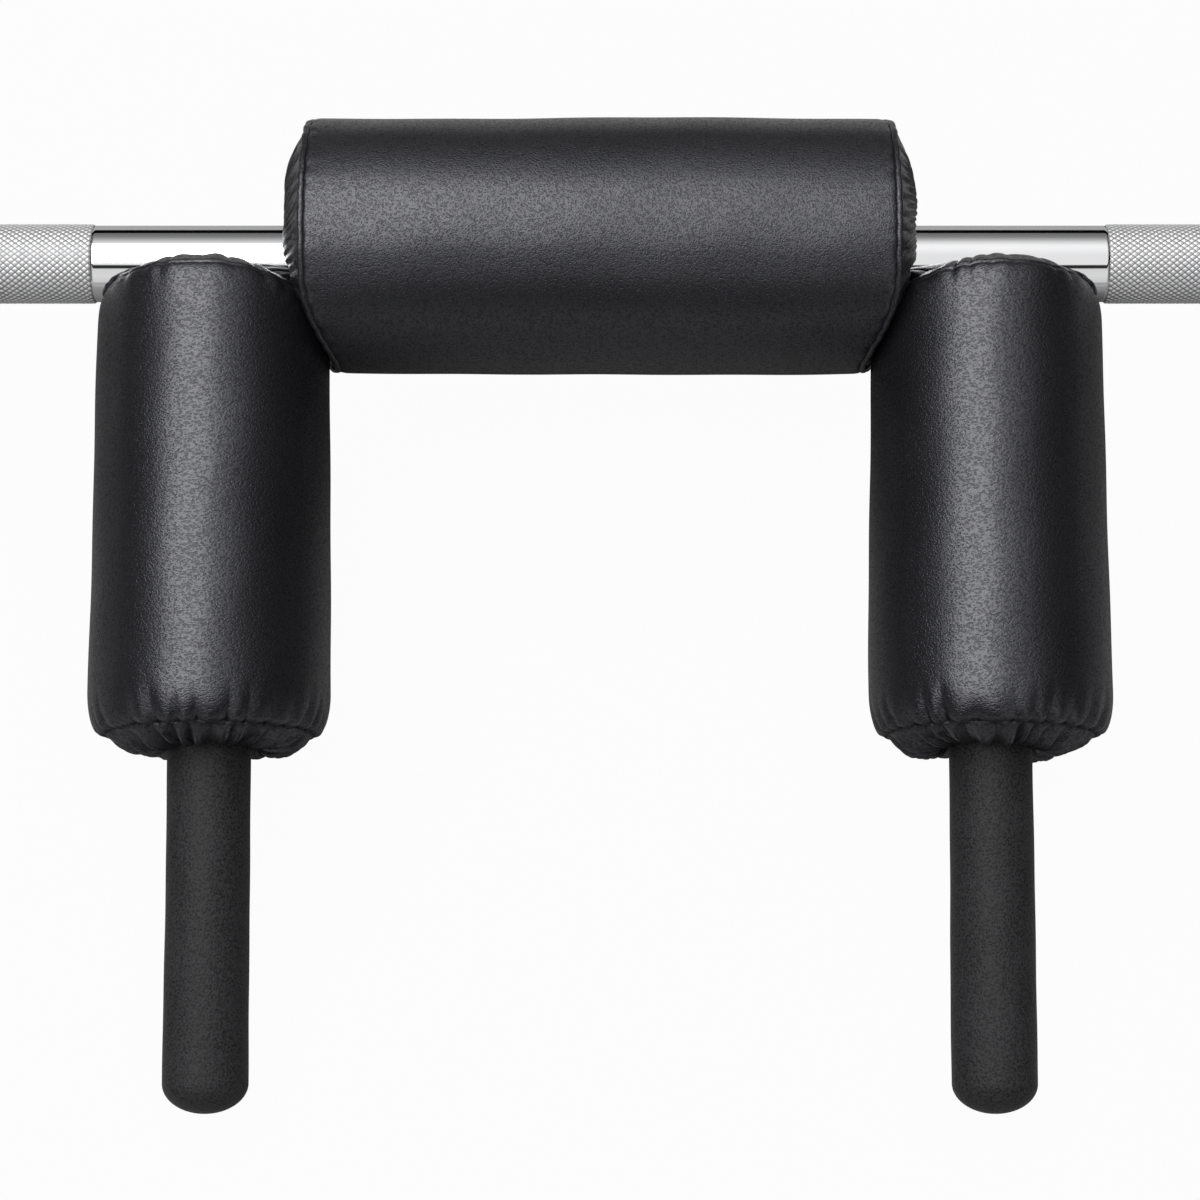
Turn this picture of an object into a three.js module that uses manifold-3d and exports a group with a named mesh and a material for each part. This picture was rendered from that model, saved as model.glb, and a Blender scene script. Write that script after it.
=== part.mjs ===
// A safety squat bar: a bent steel shaft with turning sleeves, two yoke arms welded to it with foam
// grips on their ends, and three bolster pads with gathered ends round the shaft and the arms.
// Lengths are in millimetres. +X runs along the shaft, the handles point to -Y and +Z is up.
// The bar lies as it lies on a floor: on its two collars and on the tips of its two handles.

import * as THREE from "three";
import { mergeVertices } from "three/addons/utils/BufferGeometryUtils.js";
import Module from "manifold-3d";

const wasm = await Module();
wasm.setup();

const DEGREE = Math.PI / 180;

// Clearances
const seatGap = 0.3; // between faces that touch on the real bar
const softGap = 1.3; // between a soft pad and what presses into it
const dentEase = 3.5; // more room for foam behind a dent, since its flat faces span the dent
const cutOverrun = 6; // how far a cutter runs past what it cuts

// How finely round forms are cut into faces
const steelSides = 28;
const tubeSides = 24;
const ringSides = 16;
const bendSteps = 6;
const domeSteps = 5;

// Shaft, measured from the middle of the bar
const shaftRadius = 16.5;
const knurlRadius = 17.15;
const knurlStart = 218.7;
const knurlLength = 200;
const knurlChamfer = 0.7;
const straightHalf = 562; // where the first bend starts
const camber = 80; // how far the sleeves lie below the shaft
const bendRadius = 55;
const bendAngle = 50 * DEGREE;
const stubLength = 8; // straight steel between the second bend and the shoulder
const journalRadius = 14; // the turned end that the sleeve runs on
const journalTail = 2.5; // steel past the clip's groove
const journalChamfer = 1;

// Sleeve, which takes the plates, and its collar
const sleeveRadius = 25;
const sleeveWall = 8;
const sleeveLength = 412;
const sleeveChamfer = 2;
const collarRadius = 38;
const collarWidth = 22;
const collarChamfer = 2;

// What the sleeve runs on, and what holds it
const bushingLength = 45;
const thrustWasherRadius = 22;
const thrustWasherThickness = 3;
const retainerThickness = 2.5;
const clipThickness = 1.6;
const clipWidth = 4.6;
const clipGrooveDepth = 1.2;
const clipMouth = 36 * DEGREE; // half the open angle of a clip

// The cap that closes the sleeve's outer end, and the ring that holds it
const capSeatWall = 4;
const capSeatDepth = 16;
const capThickness = 4;
const capRecess = 1.5;
const capRingThickness = 1.3;
const capRingWidth = 3;
const capRingGrooveDepth = 1.2;
const capDish = 0.8;

// Yoke arms
const armOffset = 167; // from the middle of the bar to an arm's root
const armReach = 363.6; // from the shaft's axis to a handle's tip
const armToeIn = 0.57 * DEGREE;
const armTubeRadius = 12.7;
const armTubeWall = 3;
const weldLeg = 4.5;
const weldSwellShare = 0.2; // how far the weld's face stands out, of the way back to its root
const plugLength = 16;
const plugHeadThickness = 2.5;

// Foam grips
const gripRadius = 17.75;
const gripTaper = 0.2; // how much slimmer a grip is at the pad
const gripDome = 12.5; // how far the rounded tip stands out
const gripFloor = 15; // foam between the arm's plug and the tip
const gripEdge = 1.5;

// Pad covers and the foam in them
const coverWall = 1.2;
const pleatCount = 22;
const pleatDepth = 1.5;
const seamPuckerShare = 0.35; // of a pleat's depth, at the seam
const hemRadius = 1.5; // of the elastic in the hem
const holeEase = 0.8; // between a cover's hole and what comes out of it
const foamSides = 24;

// Shoulder pads, measured along the arm from the shaft's axis
const shoulderTopRadius = 48.6;
const shoulderLowRadius = 50.3;
const shoulderTopSeam = 13;
const shoulderLowSeam = 205.6;
const shoulderTopInset = 2; // how far the seam lies inside the pad's round
const shoulderLowInset = 5;
const shoulderTopRound = 7;
const shoulderLowRound = 16;
const shoulderBulge = 7; // how far the gathered end stands out past the seam

// Neck pad, which the shoulder pads push back from the arms
const neckRadius = 55;
const neckCrown = 0.4;
const neckSeam = 123; // from the middle of the bar
const neckInset = 1;
const neckRound = 4.5;
const neckBulge = 11;
const neckPushBack = 7.7;

// The flap that closes the neck pad's cover, on the side away from the arms
const flapWidth = 26;
const flapThickness = 1.4;
const flapInset = 2.5; // from the flap's end to where the pad starts to round
const flapEdge = 4;
const flapAngle = 142 * DEGREE; // from the direction of the arms, round towards the floor
const flapSteps = 4;

// Shares along a pad's end: 0 at the seam, 1 at the hole
const capShares = [1, 0.72, 0.36];
const innerCapShares = [1, 0.5];
// Shares of the rounding before the seam: 1 at the seam, 0 where the pad is full
const roundShares = [1, 0.7, 0];
const capSwellShare = 0.8; // the power that makes a gathered end full

// What the sizes above give
const floorDrop = camber + collarRadius; // from the shaft's axis down to the floor
const tubeEnd = armReach - gripFloor - plugHeadThickness - 2 * seatGap;
const domeStart = armReach - gripDome;
const armSlope = slopeThatReachesTheFloor();
const hemDepth = coverWall + pleatDepth + hemRadius + seatGap; // from a pad's outside in to the middle of a hem
const foamDepth = hemDepth + hemRadius + seatGap; // from a pad's outside in to the foam behind a hem
const foamEnd = shoulderLowSeam - foamDepth;

// The slope at which the round tip of a grip just meets the floor: the tip is an ellipse turned about the arm
function slopeThatReachesTheFloor() {
  let slope = 0;
  for (let pass = 0; pass < 12; pass++) {
    const tip = Math.hypot(gripDome * Math.sin(slope), gripRadius * Math.cos(slope));
    slope = Math.asin((floorDrop - tip) / domeStart);
  }
  return slope;
}

// Materials
const finishes = {
  chrome: { color: 0xd8d9dc, roughness: 0.12, metalness: 1 },
  steel: { color: 0x8d8f93, roughness: 0.4, metalness: 1 },
  bronze: { color: 0xb08544, roughness: 0.35, metalness: 1 },
  vinyl: { color: 0x1c1c1e, roughness: 0.5, metalness: 0 },
  foam: { color: 0x3a3a3c, roughness: 0.95, metalness: 0 },
  gripFoam: { color: 0x202022, roughness: 0.9, metalness: 0 },
  elastic: { color: 0x151515, roughness: 0.9, metalness: 0 },
  plastic: { color: 0x141414, roughness: 0.55, metalness: 0 },
};
const materials = Object.fromEntries(
  Object.entries(finishes).map(([name, finish]) => [name, new THREE.MeshStandardMaterial(finish)]),
);

// Geometry tools

// The geometry with only its places left and shared corners merged
function merged(geometry) {
  const bare = geometry.clone();
  bare.deleteAttribute("normal");
  bare.deleteAttribute("uv");
  return mergeVertices(bare);
}

// The geometry as a closed solid that faces out
function solidOf(geometry) {
  const whole = merged(geometry);
  const triVerts = new Uint32Array(whole.index.array);
  const made = new wasm.Manifold(
    new wasm.Mesh({ numProp: 3, vertProperties: whole.attributes.position.array, triVerts }),
  );
  if (made.volume() > 0) return made;
  for (let i = 0; i < triVerts.length; i += 3) {
    [triVerts[i + 1], triVerts[i + 2]] = [triVerts[i + 2], triVerts[i + 1]];
  }
  return new wasm.Manifold(
    new wasm.Mesh({ numProp: 3, vertProperties: whole.attributes.position.array, triVerts }),
  );
}

function geometryOf(solid) {
  const mesh = solid.getMesh();
  const geometry = new THREE.BufferGeometry();
  geometry.setAttribute("position", new THREE.BufferAttribute(mesh.vertProperties, 3));
  geometry.setIndex(new THREE.BufferAttribute(mesh.triVerts, 1));
  geometry.computeVertexNormals();
  return geometry;
}

function piece(name, geometry, material, ...cutters) {
  let solid = solidOf(geometry);
  for (const cutter of cutters) solid = solid.subtract(solidOf(cutter));
  const mesh = new THREE.Mesh(geometryOf(solid), materials[material]);
  mesh.name = name;
  return mesh;
}

// A turned part about the Y axis, from points given as [radius, height]
function turned(points, sides) {
  return new THREE.LatheGeometry(points.map(([radius, height]) => new THREE.Vector2(radius, height)), sides);
}

// A turned ring: its outline closes on itself
function turnedRing(points, sides) {
  return turned([...points, points[0]], sides);
}

function washer(inner, outer, start, thickness, sides) {
  return turnedRing(
    [
      [inner, start],
      [outer, start],
      [outer, start + thickness],
      [inner, start + thickness],
    ],
    sides,
  );
}

// A skin over rings of points: the ring after the last is the first when it loops, and else both ends are closed
function skin(rings, loops) {
  const sides = rings[0].length;
  const points = rings.flat();
  const index = [];
  const joins = loops ? rings.length : rings.length - 1;
  for (let i = 0; i < joins; i++) {
    const next = (i + 1) % rings.length;
    for (let j = 0; j < sides; j++) {
      const side = (j + 1) % sides;
      const [a, b] = [i * sides + j, i * sides + side];
      const [c, d] = [next * sides + j, next * sides + side];
      index.push(a, b, d, a, d, c);
    }
  }
  if (!loops) {
    const last = (rings.length - 1) * sides;
    for (let j = 1; j < sides - 1; j++) {
      index.push(0, j + 1, j);
      index.push(last, last + j, last + j + 1);
    }
  }
  const geometry = new THREE.BufferGeometry().setFromPoints(points);
  geometry.setIndex(index);
  return geometry;
}

function cylinderAlongX(radius, length, sides) {
  return new THREE.CylinderGeometry(radius, radius, length, sides).rotateZ(-Math.PI / 2);
}

// A round ring with an open mouth, flat in the plane across Y
function openRing(inner, outer, thickness, sides) {
  const shape = new THREE.Shape();
  shape.absarc(0, 0, outer, clipMouth, 2 * Math.PI - clipMouth, false);
  shape.absarc(0, 0, inner, 2 * Math.PI - clipMouth, clipMouth, true);
  shape.closePath();
  const ring = new THREE.ExtrudeGeometry(shape, {
    depth: thickness,
    bevelEnabled: false,
    curveSegments: sides,
  });
  return ring.rotateX(-Math.PI / 2);
}

// Shaft

// Where the steps of a sleeve's seat lie, measured along the sleeve from its inner face
const sleeveBore = sleeveRadius - sleeveWall;
const capSeatRadius = sleeveRadius - capSeatWall;
const seatFloor = sleeveLength - capSeatDepth;
const retainerStart = seatFloor + seatGap;
const clipStart = retainerStart + retainerThickness + 2 * seatGap;
const clipGrooveStart = clipStart - seatGap;
const clipGrooveWidth = clipThickness + 2 * seatGap;
const journalEnd = clipGrooveStart + clipGrooveWidth + journalTail;

// The two bends take up the camber, with a straight slant between them
const bendDrop = bendRadius * (1 - Math.cos(bendAngle));
const slantDrop = camber - 2 * bendDrop;
const slantRun = slantDrop / Math.tan(bendAngle);
const bendRun = bendRadius * Math.sin(bendAngle);
const shoulderAt = straightHalf + 2 * bendRun + slantRun + stubLength;
const sleeveAt = shoulderAt + thrustWasherThickness + 2 * seatGap;

// The right half of the shaft as stations: a place on its centre line, the slope there and the radius
function shaftStations() {
  const stations = [];
  const add = (x, z, slope, radius) => stations.push({ x, z, slope, radius });
  const knurlEnd = knurlStart + knurlLength;
  add(knurlStart - knurlChamfer, 0, 0, shaftRadius);
  add(knurlStart, 0, 0, knurlRadius);
  add(knurlEnd, 0, 0, knurlRadius);
  add(knurlEnd + knurlChamfer, 0, 0, shaftRadius);
  for (let i = 0; i <= bendSteps; i++) {
    const turn = (bendAngle * i) / bendSteps;
    const run = bendRadius * Math.sin(turn);
    add(straightHalf + run, -bendRadius * (1 - Math.cos(turn)), turn, shaftRadius);
  }
  const bendEnd = shoulderAt - stubLength;
  for (let i = bendSteps; i >= 0; i--) {
    const turn = (bendAngle * i) / bendSteps;
    const run = bendRadius * Math.sin(turn);
    add(bendEnd - run, -camber + bendRadius * (1 - Math.cos(turn)), turn, shaftRadius);
  }
  const groove = journalRadius - clipGrooveDepth;
  const grooveAt = sleeveAt + clipGrooveStart;
  add(shoulderAt, -camber, 0, shaftRadius);
  add(shoulderAt, -camber, 0, journalRadius);
  add(grooveAt, -camber, 0, journalRadius);
  add(grooveAt, -camber, 0, groove);
  add(grooveAt + clipGrooveWidth, -camber, 0, groove);
  add(grooveAt + clipGrooveWidth, -camber, 0, journalRadius);
  add(sleeveAt + journalEnd - journalChamfer, -camber, 0, journalRadius);
  add(sleeveAt + journalEnd, -camber, 0, journalRadius - journalChamfer);
  return stations;
}

function shaftGeometry() {
  const right = shaftStations();
  const left = right.map(({ x, z, slope, radius }) => ({ x: -x, z, slope: -slope, radius })).reverse();
  const rings = [...left, ...right].map(({ x, z, slope, radius }) => {
    const ring = [];
    for (let j = 0; j < steelSides; j++) {
      const angle = (2 * Math.PI * j) / steelSides;
      const up = radius * Math.cos(angle);
      ring.push(new THREE.Vector3(x + up * Math.sin(slope), radius * Math.sin(angle), z + up * Math.cos(slope)));
    }
    return ring;
  });
  return skin(rings, false);
}

const shaft = piece("shaft", shaftGeometry(), "chrome");

// Sleeves: a group whose Y axis points out along the sleeve, from its inner face

function sleeveGeometry() {
  const grooveTop = sleeveLength - capRecess;
  const grooveLow = grooveTop - capRingThickness - 2 * seatGap;
  const grooveRadius = capSeatRadius + capRingGrooveDepth;
  return turnedRing(
    [
      [sleeveBore, 0],
      [sleeveRadius, 0],
      [sleeveRadius, sleeveLength - sleeveChamfer],
      [sleeveRadius - sleeveChamfer, sleeveLength],
      [capSeatRadius, sleeveLength],
      [capSeatRadius, grooveTop],
      [grooveRadius, grooveTop],
      [grooveRadius, grooveLow],
      [capSeatRadius, grooveLow],
      [capSeatRadius, seatFloor],
      [sleeveBore, seatFloor],
    ],
    steelSides,
  );
}

function collarGeometry() {
  const inner = sleeveRadius + seatGap;
  return turnedRing(
    [
      [inner, 0],
      [collarRadius - collarChamfer, 0],
      [collarRadius, collarChamfer],
      [collarRadius, collarWidth - collarChamfer],
      [collarRadius - collarChamfer, collarWidth],
      [inner, collarWidth],
    ],
    steelSides,
  );
}

// The end cap: a disc with a shallow dish in its outer face
function capGeometry() {
  const radius = capSeatRadius - seatGap;
  const top = sleeveLength - capRecess - capRingThickness - 2 * seatGap;
  const rim = capSeatRadius - capRingWidth;
  return turned(
    [
      [0, top - capThickness],
      [radius, top - capThickness],
      [radius, top],
      [rim, top],
      [rim - capDish, top - capDish],
      [0, top - capDish],
    ],
    steelSides,
  );
}

function sleeveGroup(side) {
  const group = new THREE.Group();
  const bushingOuter = sleeveBore - seatGap;
  const bushingInner = journalRadius + seatGap;
  const bushing = (start) => washer(bushingInner, bushingOuter, start, bushingLength, tubeSides);
  const clip = openRing(
    journalRadius - clipGrooveDepth + seatGap,
    journalRadius - clipGrooveDepth + clipWidth,
    clipThickness,
    ringSides,
  );
  const capRingOuter = capSeatRadius + capRingGrooveDepth - seatGap;
  const capRing = openRing(capRingOuter - capRingWidth, capRingOuter, capRingThickness, ringSides);
  const thrust = washer(
    journalRadius + seatGap,
    thrustWasherRadius,
    -seatGap - thrustWasherThickness,
    thrustWasherThickness,
    tubeSides,
  );
  const retainer = washer(
    journalRadius + seatGap,
    capSeatRadius - seatGap,
    retainerStart,
    retainerThickness,
    tubeSides,
  );
  group.add(
    piece(side.name + "_sleeve", sleeveGeometry(), "chrome"),
    piece(side.name + "_collar", collarGeometry(), "chrome"),
    piece(side.name + "_inner_bushing", bushing(0), "bronze"),
    piece(side.name + "_outer_bushing", bushing(seatFloor - bushingLength), "bronze"),
    piece(side.name + "_thrust_washer", thrust, "bronze"),
    piece(side.name + "_retainer_washer", retainer, "steel"),
    piece(side.name + "_shaft_clip", clip.translate(0, clipStart, 0), "steel"),
    piece(side.name + "_end_cap", capGeometry(), "chrome"),
    piece(
      side.name + "_cap_ring",
      capRing.translate(0, sleeveLength - capRecess - capRingThickness - seatGap, 0),
      "steel",
    ),
  );
  group.position.set(side.sign * sleeveAt, 0, -camber);
  group.rotation.z = (-side.sign * Math.PI) / 2;
  return group;
}

// Bolster pads

// The stations of one skin of a pad's end, from the hole to where the pad is full.
// An end gives its seam, the way out of the pad, and the radii of its seam, hole and full round.
function endStations(end, depth, shares, rounds) {
  const stations = shares.map((share) => ({
    along: end.seam + end.out * (end.bulge * Math.sin(Math.PI * share) ** capSwellShare - depth.cap),
    radius: THREE.MathUtils.lerp(end.seamRadius - depth.side, end.holeRadius, share),
    share,
    pleat: depth.pleat,
  }));
  for (const share of rounds) {
    stations.push({
      along: end.seam - end.out * (end.round * (1 - share) + (share === 1 ? depth.cap : 0)),
      radius: end.seamRadius - depth.side + (end.fullRadius - end.seamRadius) * Math.sqrt(1 - share ** 2),
      share: 0,
      pleat: share === 1 ? depth.pleat * seamPuckerShare : 0,
    });
  }
  return stations;
}

// A ring of points at a station. A pleat stands out at every other point, out of the end or, at the seam, across.
function stationRing(pad, end, station, sides, press) {
  const ring = [];
  for (let j = 0; j < sides; j++) {
    const angle = (2 * Math.PI * j) / sides;
    const fold = station.pleat * (j % 2 ? -1 : 1);
    const radius = station.radius + (station.share ? 0 : fold);
    const along = station.along + (station.share ? end.out * fold : 0);
    const across = radius * Math.cos(angle) + pad.holeShift * station.share;
    ring.push(press(pad.place(along, across, radius * Math.sin(angle))));
  }
  return ring;
}

// A cover: its outer skin from hole to hole, and its inner skin back again
function coverGeometry(pad) {
  const outer = { cap: 0, side: 0, pleat: pleatDepth };
  const inner = { cap: coverWall + pleatDepth, side: coverWall, pleat: 0 };
  const sides = 2 * pleatCount;
  const press = (depth) => (point) => pad.press(point, depth);
  const rings = [];
  for (const station of endStations(pad.low, outer, capShares, roundShares)) {
    rings.push(stationRing(pad, pad.low, station, sides, press(0)));
  }
  const middle = {
    along: (pad.low.seam + pad.high.seam) / 2,
    radius: (pad.low.fullRadius + pad.high.fullRadius) / 2 + pad.crown,
    share: 0,
    pleat: 0,
  };
  rings.push(stationRing(pad, pad.low, middle, sides, press(0)));
  for (const station of endStations(pad.high, outer, capShares, roundShares).reverse()) {
    rings.push(stationRing(pad, pad.high, station, sides, press(0)));
  }
  for (const station of endStations(pad.high, inner, innerCapShares, [1, 0])) {
    rings.push(stationRing(pad, pad.high, station, sides, press(coverWall)));
  }
  for (const station of endStations(pad.low, inner, innerCapShares, [1, 0]).reverse()) {
    rings.push(stationRing(pad, pad.low, station, sides, press(coverWall)));
  }
  return skin(rings, true);
}

// The foam in a cover: flat ends, a bore for what it is threaded on, and its rounds inside the cover's
function foamGeometry(pad) {
  const depth = coverWall + seatGap;
  const press = (point) => pad.press(point, foamDepth + dentEase);
  const ringsOf = (end) => {
    const rings = [];
    const outer = end.seamRadius - depth;
    const along = end.seam - end.out * foamDepth;
    for (const share of [1, 0.6, 0.25, 0]) {
      const radius = THREE.MathUtils.lerp(outer, pad.boreRadius, share);
      rings.push(stationRing(pad, end, { along, radius, share, pleat: 0 }, foamSides, press));
    }
    const full = { along: end.seam - end.out * (end.round + foamDepth), share: 0, pleat: 0 };
    full.radius = end.fullRadius - depth;
    rings.push(stationRing(pad, end, full, foamSides, press));
    return rings;
  };
  return skin([...ringsOf(pad.low), ...ringsOf(pad.high).reverse()], true);
}

// The elastic in the hem of a cover's end: a thin ring just inside the hole's edge
function hemGeometry(pad, end) {
  const centre = end.holeRadius + hemRadius + seatGap;
  const level = end.seam - end.out * hemDepth;
  const rings = [];
  for (let j = 0; j < ringSides; j++) {
    const angle = (2 * Math.PI * j) / ringSides;
    const middle = pad.press(
      pad.place(level, centre * Math.cos(angle) + pad.holeShift, centre * Math.sin(angle)),
      hemDepth,
    );
    const ring = [];
    for (let k = 0; k < hemSides; k++) {
      const turn = (2 * Math.PI * k) / hemSides;
      const swing = hemRadius * Math.cos(turn);
      const step = pad.place(hemRadius * Math.sin(turn), swing * Math.cos(angle), swing * Math.sin(angle));
      ring.push(middle.clone().add(step).sub(pad.place(0, 0, 0)));
    }
    rings.push(ring);
  }
  return skin(rings, true);
}

// Shoulder pads stand on the arm's own axis, which is Y
const hemSides = 5;

function shoulderPad(side) {
  return {
    place: (along, across, deep) => new THREE.Vector3(across, along, deep),
    press: (point, depth) => seatOnShaft(point, depth, side),
    holeShift: 0,
    crown: 0,
    boreRadius: armTubeRadius + seatGap,
    low: {
      seam: shoulderTopSeam,
      out: -1,
      bulge: shoulderBulge,
      round: shoulderTopRound,
      seamRadius: shoulderTopRadius - shoulderTopInset,
      fullRadius: shoulderTopRadius,
      holeRadius: armTubeRadius + seatGap + weldLeg + holeEase,
    },
    high: {
      seam: shoulderLowSeam,
      out: 1,
      bulge: shoulderBulge,
      round: shoulderLowRound,
      seamRadius: shoulderLowRadius - shoulderLowInset,
      fullRadius: shoulderLowRadius,
      holeRadius: gripRadius + holeEase,
    },
  };
}

// A pad's end takes the shape of the shaft that it is pushed against: a point in the shaft moves out along the arm
function seatOnShaft(point, depth, side) {
  const radius = shaftRadius + softGap + depth;
  if (Math.abs(point.z) >= radius) return point;
  const toe = side.sign * armToeIn;
  const height = Math.sqrt(radius ** 2 - point.z ** 2);
  point.y = Math.max(point.y, (height - point.x * Math.sin(toe)) / Math.cos(toe));
  return point;
}

// The neck pad lies along the shaft, pushed back from the arms
const neckEnd = (out) => ({
  seam: out * neckSeam,
  out,
  bulge: neckBulge,
  round: neckRound,
  seamRadius: neckRadius - neckInset,
  fullRadius: neckRadius,
  holeRadius: shaftRadius + holeEase,
});
const neckPad = {
  place: (along, across, deep) => new THREE.Vector3(along, across - neckPushBack, deep),
  press: pressByShoulders,
  holeShift: neckPushBack,
  crown: neckCrown,
  boreRadius: shaftRadius + seatGap,
  low: neckEnd(-1),
  high: neckEnd(1),
};

// The radius of a shoulder pad's outside at a height along the arm, with its folds
function shoulderOutside(height) {
  const crest = shoulderTopSeam - shoulderBulge - pleatDepth;
  if (height < crest) return 0;
  const share = THREE.MathUtils.clamp((height - crest) / (shoulderTopSeam - crest), 0, 1);
  const rise = THREE.MathUtils.lerp((armTubeRadius + shoulderTopRadius) / 2, shoulderTopRadius, share);
  const along = (height - shoulderTopSeam) / (shoulderLowSeam - shoulderTopSeam);
  return Math.max(rise, THREE.MathUtils.lerp(shoulderTopRadius, shoulderLowRadius, along));
}

// The neck pad's ends give way to the shoulder pads: a point in one moves in along the shaft
function pressByShoulders(point, depth) {
  const reach = shoulderOutside(point.y + depth) + softGap + depth;
  if (Math.abs(point.z) >= reach) return point;
  const axis = armOffset - point.y * Math.tan(armToeIn);
  const limit = axis - Math.sqrt(reach ** 2 - point.z ** 2);
  point.x = THREE.MathUtils.clamp(point.x, -limit, limit);
  return point;
}

// The flap: a strip that follows the neck pad's crown
function flapGeometry() {
  const rings = [];
  const half = neckSeam - neckRound - flapInset;
  for (let i = 0; i <= flapSteps; i++) {
    const along = half * ((2 * i) / flapSteps - 1);
    const crown = neckCrown * (1 - Math.abs(along) / (neckSeam - neckRound));
    const inner = neckRadius + crown + seatGap;
    const outer = inner + flapThickness;
    const spread = flapWidth / 2 / inner;
    const tuck = (flapWidth / 2 - flapEdge) / inner;
    const corners = [
      [inner, -spread],
      [inner, -tuck / 2],
      [inner, tuck / 2],
      [inner, spread],
      [outer, tuck],
      [outer, 0],
      [outer, -tuck],
    ];
    rings.push(
      corners.map(([radius, turn]) =>
        neckPad.place(along, radius * Math.cos(flapAngle + turn), radius * Math.sin(flapAngle + turn)),
      ),
    );
  }
  return skin(rings, false);
}

// Yoke: a frame with X along the shaft and Y along the arms, turned down to the floor

function gripGeometry() {
  const bore = armTubeRadius + seatGap;
  const floor = armReach - gripFloor;
  const start = foamEnd + seatGap;
  const slim = gripRadius - gripTaper;
  const points = [
    [0, floor],
    [bore, floor],
    [bore, start],
    [slim - gripEdge, start],
    [slim, start + gripEdge],
  ];
  for (let i = 0; i <= domeSteps; i++) {
    const turn = (Math.PI / 2) * (i / domeSteps);
    points.push([gripRadius * Math.cos(turn), domeStart + gripDome * Math.sin(turn)]);
  }
  points[points.length - 1][0] = 0;
  return turned(points, tubeSides);
}

// The fillet that follows the saddle between an arm and the shaft
function weldGeometry(side) {
  const throat = armTubeRadius + seatGap;
  const bed = shaftRadius + seatGap;
  const rings = [];
  for (let j = 0; j < tubeSides; j++) {
    const angle = (2 * Math.PI * j) / tubeSides;
    const onShaft = (leg) => {
      const turn = Math.asin((throat * Math.sin(angle)) / bed) + (leg * Math.sin(angle)) / bed;
      const x = (throat + leg) * Math.cos(angle);
      return new THREE.Vector3(x, bed * Math.cos(turn) - x * Math.tan(side.sign * armToeIn), bed * Math.sin(turn));
    };
    const root = onShaft(0);
    const toe = onShaft(weldLeg);
    const top = root.clone().setY(root.y + weldLeg);
    const face = toe.clone().lerp(top, 1 / 2).lerp(root, -weldSwellShare);
    rings.push([root, toe, face, top]);
  }
  return skin(rings, true);
}

function plugGeometry() {
  const body = armTubeRadius - armTubeWall - seatGap;
  const head = tubeEnd + seatGap;
  return turned(
    [
      [0, head - plugLength],
      [body, head - plugLength],
      [body, head],
      [armTubeRadius - seatGap, head],
      [armTubeRadius - seatGap, head + plugHeadThickness],
      [0, head + plugHeadThickness],
    ],
    tubeSides,
  );
}

function armGroup(side) {
  const group = new THREE.Group();
  const pad = shoulderPad(side);
  const shaftCut = () =>
    cylinderAlongX(shaftRadius + seatGap, 2 * (shoulderTopRadius + cutOverrun), steelSides).rotateZ(
      -side.sign * armToeIn,
    );
  const tube = washer(armTubeRadius - armTubeWall, armTubeRadius, 0, tubeEnd, tubeSides);
  group.add(
    piece(side.name + "_arm", tube, "chrome", shaftCut()),
    piece(side.name + "_arm_weld", weldGeometry(side), "chrome"),
    piece(side.name + "_arm_plug", plugGeometry(), "plastic"),
    piece(side.name + "_grip", gripGeometry(), "gripFoam"),
    piece(side.name + "_shoulder_foam", foamGeometry(pad), "foam"),
    piece(side.name + "_shoulder_cover", coverGeometry(pad), "vinyl"),
    piece(side.name + "_shoulder_upper_elastic", hemGeometry(pad, pad.low), "elastic"),
    piece(side.name + "_shoulder_lower_elastic", hemGeometry(pad, pad.high), "elastic"),
  );
  group.position.x = side.sign * armOffset;
  group.rotation.z = side.sign * armToeIn;
  return group;
}

const sides = [
  { name: "left", sign: -1 },
  { name: "right", sign: 1 },
];

const yoke = new THREE.Group();
yoke.rotation.x = Math.PI + armSlope;
yoke.add(
  piece("neck_foam", foamGeometry(neckPad), "foam"),
  piece("neck_cover", coverGeometry(neckPad), "vinyl"),
  piece("neck_left_elastic", hemGeometry(neckPad, neckPad.low), "elastic"),
  piece("neck_right_elastic", hemGeometry(neckPad, neckPad.high), "elastic"),
  piece("neck_cover_flap", flapGeometry(), "vinyl"),
  ...sides.map(armGroup),
);

// The bar, set down so that it stands on the floor with the middle of its outline over the origin
const bar = new THREE.Group();
bar.add(shaft, yoke, ...sides.map(sleeveGroup));
const outline = new THREE.Box3().setFromObject(bar, true);
bar.position.set(0, -(outline.min.y + outline.max.y) / 2, -outline.min.z);

const part = new THREE.Group();
part.add(bar);

export default part;
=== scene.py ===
# %% [markdown]
# # A safety squat bar
# This lesson dresses a barbell with a padded yoke: a bent chrome shaft that carries a neck pad and two
# arms, each arm with a shoulder pad and a foam grip, and a turning sleeve for plates at each end. The
# measured model is loaded first, and its nodes are never moved. A node whose plain faces are good enough
# only gets a finish, and one that shows in the picture is replaced by a finer surface in the same place.

# %% Load the measured model
from math import atan2, cos, hypot, pi, radians, sin, tan

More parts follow.
